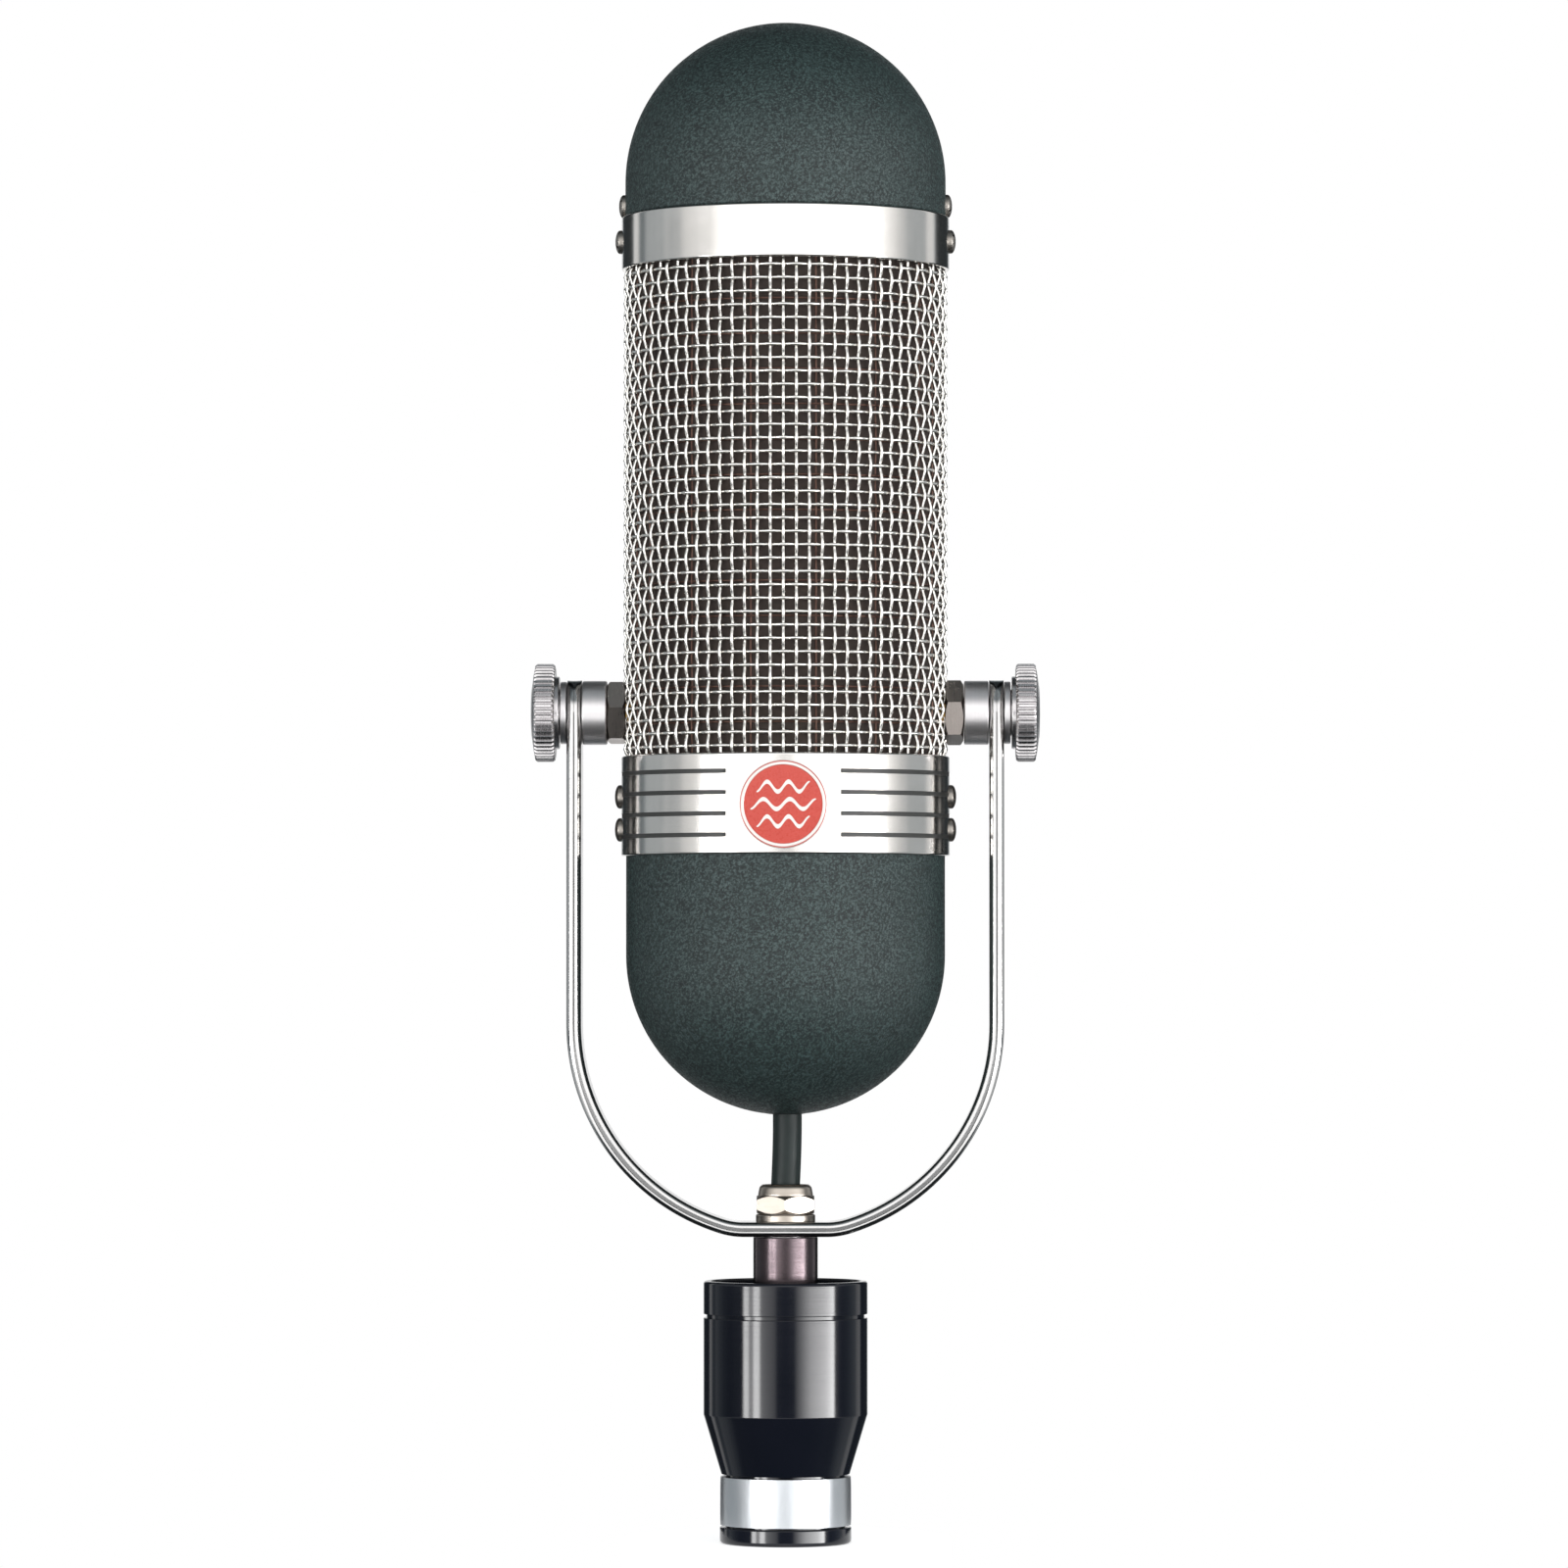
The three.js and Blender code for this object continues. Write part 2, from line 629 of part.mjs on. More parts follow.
function motor() {
  const magnet = { limb: 12, half: 20, yoke: 178, halfDepth: 9 };
  const poleEdge = magnet.limb - slack;
  const poleDepth = 4;
  add('magnet_stand', block(-14, 14, 8, basePlate.high + slack, magnetBottom - slack),
    castAluminium);
  add('horseshoe_magnet', plate(polygon([
    [-magnet.half, magnetBottom], [magnet.half, magnetBottom], [magnet.half, magnetTop],
    [magnet.limb, magnetTop], [magnet.limb, magnet.yoke], [-magnet.limb, magnet.yoke],
    [-magnet.limb, magnetTop], [-magnet.half, magnetTop],
  ]), 2 * magnet.halfDepth), magnetAlloy);
  for (const [word, side] of sides) {
    // each pole narrows towards the ribbon, seen from above
    const outline = polygon([
      [airGap, -poleDepth / 4], [poleEdge, -poleDepth], [poleEdge, poleDepth],
      [airGap, poleDepth / 4],
    ]);
    const pole = new THREE.ExtrudeGeometry(outline, {
      depth: poleTop - poleBottom, bevelEnabled: false,
    }).translate(0, 0, poleBottom);
    add(`pole_piece_${word}`, side < 0 ? pole.rotateZ(Math.PI) : pole, softIron);
  }
  const blockHalf = 10;
  const blockHeight = 5;
  const clampHeight = 3.2;
  const clampHalf = airGap - 2 * runningGap;
  const ends = [
    ['bottom', poleBottom - slack - blockHeight, poleBottom + slack],
    ['top', poleTop + slack, poleTop - slack - clampHeight],
  ];
  for (const [word, blockLow, clampLow] of ends) {
    add(`clamp_block_${word}`,
      block(-blockHalf, blockHalf, poleDepth + 1, blockLow, blockLow + blockHeight), phenolic);
    add(`ribbon_clamp_${word}`,
      block(-clampHalf, clampHalf, poleDepth / 2, clampLow, clampLow + clampHeight), brass);
  }
  ribbon(poleBottom + clampHeight + 2 * slack, poleTop - clampHeight - 2 * slack);
}

// The corrugated foil, drawn as a zigzag strip seen from the side.
function ribbon(low, high) {
  const folds = 30;
  const wave = 0.45;
  const thickness = 0.12;
  const halfWidth = 2.3;
  const edge = (shift) => Array.from({ length: folds + 1 }, (_, i) => [
    (i % 2 ? wave : -wave) + shift, low + ((high - low) * i) / folds,
  ]);
  const outline = polygon([...edge(0), ...edge(thickness).reverse()]);
  const foil = plate(outline, 2 * halfWidth).rotateZ(Math.PI / 2);
  add('ribbon', foil, ribbonFoil);
}

function transformer() {
  const core = { half: 15, limb: 4, window: 10, depth: 12, yoke: 5 };
  const windows = sides.map(([, side]) => {
    const [low, high] = [side * core.limb, side * core.window].sort((a, b) => a - b);
    return block(low, high, core.depth, coreBottom + core.yoke, coreTop - core.yoke);
  });
  const laminations = block(-core.half, core.half, core.depth / 2, coreBottom, coreTop);
  add('transformer_core', cut(laminations, windows), softIron);
  const coil = polygon([[-9.6, -11], [9.6, -11], [9.6, 11], [-9.6, 11]]);
  const [holeX, holeY] = [core.limb + runningGap, core.depth / 2 + runningGap];
  coil.holes.push(new THREE.Path([
    new THREE.Vector2(-holeX, -holeY), new THREE.Vector2(holeX, -holeY),
    new THREE.Vector2(holeX, holeY), new THREE.Vector2(-holeX, holeY),
  ]));
  const coilBottom = coreBottom + core.yoke + runningGap;
  const coilTop = coreTop - core.yoke - runningGap;
  add('transformer_coil', new THREE.ExtrudeGeometry(coil, {
    depth: coilTop - coilBottom, bevelEnabled: false,
  }).translate(0, 0, coilBottom), copperWinding);
  const legInner = core.half + runningGap;
  const legOuter = legInner + 1.2;
  const bridge = basePlate.low - slack;
  add('transformer_bracket', plate(polygon([
    [-legOuter, coreBottom], [-legInner, coreBottom], [-legInner, bridge - 1.2],
    [legInner, bridge - 1.2], [legInner, coreBottom], [legOuter, coreBottom],
    [legOuter, bridge], [-legOuter, bridge],
  ]), 14), castAluminium);
}

couplerShell();
standSocket();
cushion();
rearGland();
post();
yokeFastening();
yokeStrap();
cable();
topDome();
upperBand();
lowerBandWithBadge();
lowerHousing();
screens();
sideScrews();
framePlates();
pivots();
tiltKnobs();
motor();
transformer();

export default microphone;
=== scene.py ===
# A ribbon microphone on a U-shaped yoke and a stand coupler, built round its imported frame.
# Metres, +Z up. The badge side faces -Y. Each section below is one piece, or one group of
# like pieces, with its sizes, mesh, finish and body together.
import math

import bmesh
import bpy
from mathutils import Matrix, Vector


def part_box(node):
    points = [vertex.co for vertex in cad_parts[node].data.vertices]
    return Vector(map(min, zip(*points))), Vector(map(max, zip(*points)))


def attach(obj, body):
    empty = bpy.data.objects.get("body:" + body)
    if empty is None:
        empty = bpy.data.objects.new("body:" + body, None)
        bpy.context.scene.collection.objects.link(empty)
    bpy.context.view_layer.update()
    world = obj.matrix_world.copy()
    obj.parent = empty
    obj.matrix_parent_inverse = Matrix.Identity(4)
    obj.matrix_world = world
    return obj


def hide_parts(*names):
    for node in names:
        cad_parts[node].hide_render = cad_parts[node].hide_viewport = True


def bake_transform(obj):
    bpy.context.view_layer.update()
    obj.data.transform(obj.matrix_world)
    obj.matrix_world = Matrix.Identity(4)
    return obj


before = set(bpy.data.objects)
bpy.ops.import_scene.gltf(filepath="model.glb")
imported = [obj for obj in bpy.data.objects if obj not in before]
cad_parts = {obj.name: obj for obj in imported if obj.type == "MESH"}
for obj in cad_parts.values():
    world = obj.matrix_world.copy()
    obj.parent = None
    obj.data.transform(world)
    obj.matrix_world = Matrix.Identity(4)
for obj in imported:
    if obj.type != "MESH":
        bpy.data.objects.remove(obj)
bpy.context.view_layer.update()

MM = 0.001

# ---- Camera -----------------------------------------------------------------------------
# A long lens a metre and a half in front and a degree to the right. It stands a little under
# the middle of the microphone and looks up at it very slightly.
camera = bpy.data.objects.new("camera", bpy.data.cameras.new("camera"))
bpy.context.scene.collection.objects.link(camera)
bpy.context.scene.camera = camera
lens_length = 180
sensor_width = 36
camera.data.lens = lens_length
camera.data.sensor_width = sensor_width
camera_turn = math.radians(0.8)
camera_reach = 1.52
camera_height = 0.109
aim = Vector((-0.0003, 0, 0.1469))
eye = Vector((
    math.sin(camera_turn) * camera_reach, -math.cos(camera_turn) * camera_reach, camera_height))
camera.location = eye
camera.rotation_euler = (aim - eye).to_track_quat("-Z", "Y").to_euler()
bpy.context.scene.view_settings.view_transform = "Standard"

# ---- Studio light -----------------------------------------------------------------------
# A surround drawn by azimuth and height and centred on the camera's side: a white window in
# front, two low soft boxes and the camera's dark stand just under it, grey side walls with
# dark strips, and a pale wall behind. The camera itself sees plain white all round.


class Signal:
    """One output of a node; arithmetic on it adds Math nodes to the same tree."""

    def __init__(self, nodes, socket):
        self.nodes = nodes
        self.socket = socket

    def maths(self, operation, *others, clamp=False):
        settings = {"operation": operation, "use_clamp": clamp}
        return self.nodes.add("ShaderNodeMath", settings, dict(enumerate([self, *others])))

    def __add__(self, other):
        return self.maths("ADD", other)

    def __mul__(self, other):
        return self.maths("MULTIPLY", other)

    def __sub__(self, other):
        return self.maths("SUBTRACT", other)

    def __rsub__(self, other):
        return self * -1 + other

    def __truediv__(self, other):
        return self.maths("DIVIDE", other)

    def __pow__(self, other):
        return self.maths("POWER", other)

    __rmul__ = __mul__

    def rise(self, start, end, low=0.0, high=1.0):
        """Goes smoothly from low to high as the signal passes from start to end."""
        values = {"Value": self, "From Min": start, "From Max": end, "To Min": low, "To Max": high}
        return self.nodes.add("ShaderNodeMapRange", {"interpolation_type": "SMOOTHSTEP"}, values)


class Nodes:
    """A node tree written as calls and expressions."""

    def __init__(self, tree):
        self.tree = tree

    def add(self, kind, settings=None, values=None, output=0):
        node = self.tree.nodes.new(kind)
        for name, value in (settings or {}).items():
            if name == "stops":
                self.fill_ramp(node.color_ramp, value)
            else:
                setattr(node, name, value)
        for name, value in (values or {}).items():
            self.feed(node.inputs[name], value)
        return Signal(self, node.outputs[output])

    def feed(self, socket, value):
        if isinstance(value, Signal):
            self.tree.links.new(value.socket, socket)
        else:
            socket.default_value = value

    @staticmethod
    def fill_ramp(ramp, stops):
        for _ in stops[2:]:
            ramp.elements.new(0.5)
        for element, (position, grey) in zip(ramp.elements, stops):
            element.position = position
            element.color = (grey, grey, grey, 1)


world = bpy.data.worlds.new("studio")
bpy.context.scene.world = world
world.use_nodes = True
world.node_tree.nodes.clear()
sky = Nodes(world.node_tree)
WHITE = (1, 1, 1, 1)
BRIGHTEST = 30.0
COOL = (0.8, 0.93, 1.0, 1)
direction = sky.add("ShaderNodeTexCoord")
across = sky.add("ShaderNodeSeparateXYZ", None, {"Vector": direction}, output=0)
depth = sky.add("ShaderNodeSeparateXYZ", None, {"Vector": direction}, output=1)
upward = sky.add("ShaderNodeSeparateXYZ", None, {"Vector": direction}, output=2)
azimuth = across.maths("ARCTAN2", depth * -1) * math.degrees(1) - math.degrees(camera_turn)


def round_the_room(levels):
    """A ramp of grey levels by azimuth in degrees, right of the camera's side positive."""
    stops = [(degrees / 360 + 0.5, level / BRIGHTEST) for degrees, level in levels]
    return sky.add("ShaderNodeValToRGB", {"stops": stops}, {"Fac": azimuth / 360 + 0.5}) * BRIGHTEST


walls = round_the_room([
    (-180, 1.0), (-168, 0.85), (-163, 0.04), (-136, 0.03), (-134, 0.9), (-127, 0.85),
    (-125, 0.22), (-118, 0.24), (-116, 0.5), (-96, 0.52), (-92, 0.66), (-88, 0.56),
    (-80, 0.64), (-74, 0.9), (-54, 1.0), (-44, 1.75), (66, 1.75), (76, 1.25),
    (88, 0.8), (97, 0.55), (115, 0.52), (121, 0.9), (129, 0.85), (131.5, 0.03),
    (163, 0.04), (168, 0.85), (180, 1.0),
])
boxes = round_the_room([
    (-63, 0.0), (-60, 19.0), (-54, 19.0), (-52, 7.0), (-47, 7.0), (-45, 21.0), (-38, 21.0),
    (-35, 4.5), (-28, 3.0), (-16, 1.5), (-11, 0.0), (12, 0.0), (22, 4.0), (36, 11.0),
    (58, 18.0), (71, 28.0), (74, 1.0), (82, 0.0),
])
aside = azimuth.maths("ABSOLUTE")
front = aside.rise(85, 120, 1.0, 0.0)
back = aside.rise(100, 140)
above = upward.rise(-0.03, -0.012)
ceiling = upward.rise(0.4, 0.72, 1.0, 0.2)
back_ceiling = 1 - back * upward.rise(0.3, 0.6) * 0.75
low_wall = upward.rise(-0.48, -0.4) * upward.rise(-0.14, -0.11, 1.0, 0.0)
ground = upward.rise(-0.6, -0.45, 0.12, 1.0)
dim = (above + (1 - above) * (1 - front * (1 - low_wall) * 0.9)) * ground
dark_row = upward.rise(-0.14, -0.11) * upward.rise(-0.03, -0.012, 1.0, 0.0)
stand_shadow = aside.rise(9, 14, 1.0, 0.0) * dark_row
camera_shadow = aside.rise(3, 7, 0.66, 0.0) * upward.rise(-0.07, -0.03) * upward.rise(0.01, 0.045, 1.0, 0.0)
shade = stand_shadow.maths("MAXIMUM", camera_shadow)
folds = sky.add("ShaderNodeTexNoise", {"noise_dimensions": "1D"}, {"W": azimuth / 5, "Detail": 4.0})
drapes = folds.rise(0.35, 0.65, 0.8, 1.18)
room = (walls * drapes * ceiling * back_ceiling * dim + boxes * dark_row) * (1 - shade * 0.9)
tone = sky.add(
    "ShaderNodeMix", {"data_type": "RGBA"}, {0: room.rise(0.1, 0.9), 6: COOL, 7: WHITE}, output=2)
surround = sky.add("ShaderNodeBackground", None, {"Color": tone, "Strength": room})
plain = sky.add("ShaderNodeBackground", None, {"Color": WHITE, "Strength": 1.0})
seen = sky.add("ShaderNodeLightPath")
shown = sky.add("ShaderNodeMixShader", None, {0: seen, 1: surround, 2: plain})
sky.feed(sky.tree.nodes.new("ShaderNodeOutputWorld").inputs["Surface"], shown)

# ---- Floor ------------------------------------------------------------------------------
# A round disc of matt white laminate, 64 mm across, level with the coupler's mouth. It glows,
# to stay white, and reaches only a little in front, so that the coupler mirrors a dim room.


class Finish(Nodes):
    """A material whose uneven parts are written as expressions on its own nodes."""

    def __init__(self, name, color, roughness=0.5, metallic=0.0, **constants):
        self.material = bpy.data.materials.new(name)
        self.material.use_nodes = True
        super().__init__(self.material.node_tree)
        self.shader = self.tree.nodes["Principled BSDF"]
        self.place = self.add("ShaderNodeTexCoord", None, None, output=3)
        self.set(Base_Color=color, Roughness=roughness, Metallic=metallic, **constants)

    def set(self, **values):
        for name, value in values.items():
            self.feed(self.shader.inputs[name.replace("_", " ")], value)

    def stretched(self, *scale):
        return self.add("ShaderNodeMapping", None, {"Vector": self.place, "Scale": scale})

    def noise(self, size, detail=3.0, rough=0.5, at=None):
        """Cloudy noise from 0 to 1, with lumps of a size in metres."""
        values = {"Scale": 1 / size, "Detail": detail, "Roughness": rough}
        values["Vector"] = at or self.place
        return self.add("ShaderNodeTexNoise", None, values)

    def cells(self, size, feature="F1", at=None):
        values = {"Scale": 1 / size, "Vector": at or self.place}
        return self.add("ShaderNodeTexVoronoi", {"feature": feature}, values)

    def blend(self, amount, first, second):
        """A colour between two colours."""
        return self.add(
            "ShaderNodeMix", {"data_type": "RGBA"}, {0: amount, 6: first, 7: second}, output=2)

    def bump(self, height, depth):
        """Raises the surface by up to a depth in metres where the height is 1."""
        self.set(Normal=self.add("ShaderNodeBump", None, {"Height": height, "Distance": depth}))


def tint(red, green, blue):
    """A colour from its everyday 0 to 255 values."""
    return tuple(((level / 255 + 0.055) / 1.055) ** 2.4 for level in (red, green, blue)) + (1,)


def softened(corners, steps=4):
    """The points of an outline whose corners (radius, height, fillet) are rounded off."""
    points = []
    for index, (radius, height, fillet) in enumerate(corners):
        corner = Vector((radius, height))
        if not fillet:
            points.append(corner)
            continue
        back = (Vector(corners[index - 1][:2]) - corner).normalized()
        ahead = (Vector(corners[(index + 1) % len(corners)][:2]) - corner).normalized()
        half = back.angle(ahead) / 2
        centre = corner + (back + ahead).normalized() * fillet / math.sin(half)
        starts = [corner + way * fillet / math.tan(half) for way in (back, ahead)]
        spokes = [start - centre for start in starts]
        points.append(starts[0] + back * fillet / 6)
        for step in range(steps + 1):
            spoke = spokes[0].lerp(spokes[1], step / steps).normalized()
            points.append(centre + spoke * fillet)
        points.append(starts[1] + ahead * fillet / 6)
    return points


def arc(centre, radius, start, end, steps):
    """Points (radius, height, no fillet) of a round stretch centred on the axis, in degrees."""
    angles = [math.radians(start + (end - start) * step / steps) for step in range(steps + 1)]
    return [(radius * math.cos(a), centre + radius * math.sin(a), 0) for a in angles]


def hoop(mesh, radius, height, sides, aside=0.0):
    """A ring of corners round the Z axis, or a little aside of it in X."""
    angles = [2 * math.pi * side / sides for side in range(sides)]
    return [
        mesh.verts.new((aside + radius * math.sin(a), -radius * math.cos(a), height))
        for a in angles]


def turned(outline, sides=96):
    """A closed outline of (radius, height) points turned about the Z axis."""
    mesh = bmesh.new()
    on_axis = 1e-7
    rings = [
        hoop(mesh, point[0], point[1], sides if point[0] > on_axis else 1) for point in outline]
    skin(mesh, rings + rings[:1], sides)
    return mesh


def skin(mesh, rings, sides):
    """Joins each ring of corners to the next with faces, round a point where one is single."""
    for ring, following in zip(rings, rings[1:]):
        for side in range(sides):
            corners = [
                ring[side % len(ring)], ring[(side + 1) % len(ring)],
                following[(side + 1) % len(following)], following[side % len(following)]]
            corners = list(dict.fromkeys(corners))
            if len(corners) > 2:
                mesh.faces.new(corners)
    bmesh.ops.recalc_face_normals(mesh, faces=mesh.faces)


def capped(mesh, rings, sides):
    """Skins a run of rings and closes its two ends with flat faces."""
    skin(mesh, rings, sides)
    for end in (rings[0], rings[-1]):
        mesh.faces.new(end)
    bmesh.ops.recalc_face_normals(mesh, faces=mesh.faces)
    return mesh


def piece(name, mesh, *finishes, crease=32):
    """Turns a finished mesh into a named object at the origin, smooth but for its creases."""
    data = bpy.data.meshes.new(name)
    mesh.to_mesh(data)
    mesh.free()
    for finish in finishes:
        data.materials.append(finish.material)
    data.shade_smooth()
    data.set_sharp_from_angle(angle=math.radians(crease))
    made = bpy.data.objects.new(name, data)
    bpy.context.scene.collection.objects.link(made)
    return made


floor_radius = 32 * MM
floor_margin = 16 * MM
floor_thickness = 10 * MM
floor_finish = Finish("pale_laminate", tint(240, 240, 240), 0.75)
speckle = floor_finish.noise(4 * MM, detail=6.0)
floor_finish.set(Roughness=speckle * 0.1 + 0.7, Emission_Color=WHITE, Emission_Strength=0.75)
floor_outline = [(0, -floor_thickness), (floor_radius, -floor_thickness), (floor_radius, 0), (0, 0)]
floor_mesh = turned(floor_outline, 160)
bmesh.ops.translate(floor_mesh, vec=(0, floor_radius - floor_margin, 0), verts=floor_mesh.verts)
floor = piece("floor", floor_mesh, floor_finish)

# ---- Housings ---------------------------------------------------------------------------
# The domed top and the lower shell are spun aluminium, stove-enamelled in a very dark green
# wrinkle paint. The film dries into fine worm-like ridges, shiny on top and matt between.
# A narrow turned-down skirt of each goes inside the bright band.


def wrinkle_paint(name):
    paint = Finish(name, tint(36, 52, 52), 0.6, Specular_IOR_Level=0.5)
    drift = paint.noise(0.7 * MM, detail=2.0) * MM
    shift = paint.add("ShaderNodeCombineXYZ", None, {0: drift, 1: drift * -1, 2: drift})
    warped = paint.add("ShaderNodeVectorMath", {"operation": "ADD"}, {0: paint.place, 1: shift})
    worms = 1 - paint.cells(0.42 * MM, "SMOOTH_F1", at=warped) * 1.3
    grain = paint.noise(0.2 * MM, detail=3.0, rough=0.6)
    clouds = paint.noise(5 * MM, detail=5.0, rough=0.65)
    lumps = paint.noise(0.6 * MM, detail=5.0, rough=0.7)
    film = worms * 0.4 + grain * 0.5 + lumps * 0.9
    # The crest mask marks the ridge tops. It lowers their roughness, which is real gloss, and lightens
    # their base colour, which is a painted highlight.
    crest_gloss_and_highlight = film.rise(0.75, 1.15)
    dark = paint.blend(clouds.rise(0.35, 0.65), tint(11, 24, 25), tint(19, 34, 34))
    # Painted highlight: the base colour turns pale green on the ridge crests and stays dark in the hollows
    # between them.
    paint.set(Base_Color=paint.blend(crest_gloss_and_highlight, dark, tint(62, 80, 79)))
    paint.set(Roughness=0.62 - crest_gloss_and_highlight * 0.26)
    paint.bump(film, 0.15 * MM)
    return paint


def fit(made, body, slot, *nodes):
    """Rides a piece on its body in place of the CAD nodes it stands for; the slot is not used."""
    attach(made, body)
    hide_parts(*nodes)


charcoal_paint = wrinkle_paint("charcoal_wrinkle_paint")
head_sides = 160
dome_low, dome_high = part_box("top_dome")
top_band_low, top_band_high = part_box("top_band")
dome_wall = 1.3 * MM
band_gap = 0.1 * MM
dome_radius = dome_high.x
dome_centre = dome_high.z - dome_radius
skirt_radius = dome_radius - 0.25 * MM
dome_edge = top_band_high.z + band_gap
dome_outline = softened([
    (dome_radius - dome_wall, dome_low.z, 0), (skirt_radius, dome_low.z, 0),
    (skirt_radius, dome_edge, 0), (dome_radius, dome_edge, 0.4 * MM),
    *arc(dome_centre, dome_radius, 0, 90, 40),
    *arc(dome_centre, dome_radius - dome_wall, 90, 0, 24)])
top_dome = piece("top_dome_shell", turned(dome_outline, head_sides), charcoal_paint)
fit(top_dome, "head", "charcoal_paint", "top_dome")

shell_low, shell_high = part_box("lower_housing")
shell_wall = 1.5 * MM
shell_radius = shell_high.x
shell_centre = shell_low.z + shell_radius
cable_hole = 4.6 * MM
hole_angle = math.degrees(math.asin(cable_hole / shell_radius)) - 90
inner_radius = shell_radius - shell_wall
inner_angle = math.degrees(math.asin(cable_hole / inner_radius)) - 90
shell_outline = softened([
    *arc(shell_centre, shell_radius, hole_angle, 0, 40),
    (shell_radius, shell_high.z, 0.3 * MM), (inner_radius, shell_high.z, 0.3 * MM),
    *arc(shell_centre, inner_radius, 0, inner_angle, 24)])
lower_shell = piece("lower_housing_shell", turned(shell_outline, head_sides), charcoal_paint)
fit(lower_shell, "head", "charcoal_paint", "lower_housing")

# ---- Bright bands -----------------------------------------------------------------------
# Two rings of nickel-plated brass clasp the ends of the grille. Each is polished on the
# lathe, which leaves faint rings, and its edges are broken by a small bevel. The lower one
# has four engraved lines each side of the badge, filled with black enamel.


def polished_nickel_finish(name, roughness=0.13):
    nickel = Finish(name, tint(219, 216, 211), roughness, 1.0)
    rings = nickel.noise(1.0, detail=5.0, rough=0.7, at=nickel.stretched(12, 12, 5200))
    smears = nickel.noise(9 * MM, detail=3.0)
    nickel.set(Roughness=rings * 0.05 + smears * 0.07 + (roughness - 0.05))
    nickel.set(Base_Color=nickel.blend(smears.rise(0.3, 0.8), tint(215, 212, 208), tint(224, 221, 217)))
    nickel.bump(rings, 0.0035 * MM)
    return nickel


polished_nickel = polished_nickel_finish("polished_nickel")
bevel = 0.35 * MM
band_bore = 31 * MM
upper_band_radius = top_band_high.x
upper_outline = softened([
    (band_bore, top_band_low.z, 0), (upper_band_radius, top_band_low.z, bevel),
    (upper_band_radius, top_band_high.z, bevel), (band_bore, top_band_high.z, 0)])
upper_band = piece("top_band_ring", turned(upper_outline, head_sides), polished_nickel)
fit(upper_band, "head", "polished_nickel", "top_band")

band_low, band_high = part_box("lower_band")
band_radius = band_high.x
line_height = 0.85 * MM
line_depth = 0.12 * MM
line_pitch = 4.05 * MM
line_centres = [band_low.z + 3.65 * MM + line * line_pitch for line in range(4)]
line_end = 20.4
line_slope = 0.35


def engraved_band():
    """The band as rows of corners; the rows of a line sink between its two ends."""
    edges = softened([
        (band_bore, band_low.z, 0), (band_radius, band_low.z, bevel),
        (band_radius, band_high.z, bevel), (band_bore, band_high.z, 0)])
    lower = edges[:len(edges) // 2]
    upper = edges[len(edges) // 2:]
    rows = [(point[0], point[1], 0) for point in lower]
    for centre in line_centres:
        low_lip = centre - line_height / 2
        high_lip = centre + line_height / 2
        slant = 0.05 * MM
        rows += [(band_radius, low_lip, 0), (band_radius, low_lip + slant, line_depth)]
        rows += [(band_radius, high_lip - slant, line_depth), (band_radius, high_lip, 0)]
    rows += [(point[0], point[1], 0) for point in upper]
    quarter_turn = 90.2
    angle_step = 2.02
    engraving = [line_end + angle_step * step for step in range(1, 36)]
    quarter = [0, line_end / 4, line_end / 2, line_end * 0.75, line_end - line_slope, line_end]
    quarter += [angle for angle in engraving if angle <= quarter_turn]
    half = quarter + [180 - a for a in reversed(quarter[:-1])]
    angles = half + [360 - a for a in reversed(half[1:-1])]
    mesh = bmesh.new()
    rings = []
    for radius, height, sink in rows:
        ring = []
        for angle in angles:
            engraved = abs(math.sin(math.radians(angle))) >= math.sin(math.radians(line_end)) - 1e-6
            reach = radius - sink * engraved
            turn = math.radians(angle)
            ring.append(mesh.verts.new((reach * math.sin(turn), -reach * math.cos(turn), height)))
        rings.append(ring)
    skin(mesh, rings + rings[:1], len(angles))
    for face in mesh.faces:
        middle = face.calc_center_median()
        sunk = math.hypot(middle.x, middle.y) < band_radius - 0.35 * line_depth
        within = any(abs(middle.z - centre) < line_height / 2 for centre in line_centres)
        face.material_index = int(sunk and within and middle.xy.length > band_bore + 0.1 * MM)
    return mesh


black_filling = Finish("black_line_filling", tint(46, 47, 46), 0.45)
filling_grain = black_filling.noise(0.3 * MM, detail=3.0)
black_filling.set(Base_Color=black_filling.blend(filling_grain, tint(26, 27, 27), tint(58, 59, 57)))
black_filling.bump(filling_grain, 0.02 * MM)
lower_band = piece("lower_band_ring", engraved_band(), polished_nickel, black_filling)
fit(lower_band, "head", "polished_nickel", "lower_band")

# ---- Woven grille -----------------------------------------------------------------------
# Ten-mesh screen of bright nickel-plated wire rolled to a tube. Upright wires and hoops are
# crimped half a wave apart, so each passes in front of one neighbour and behind the next.


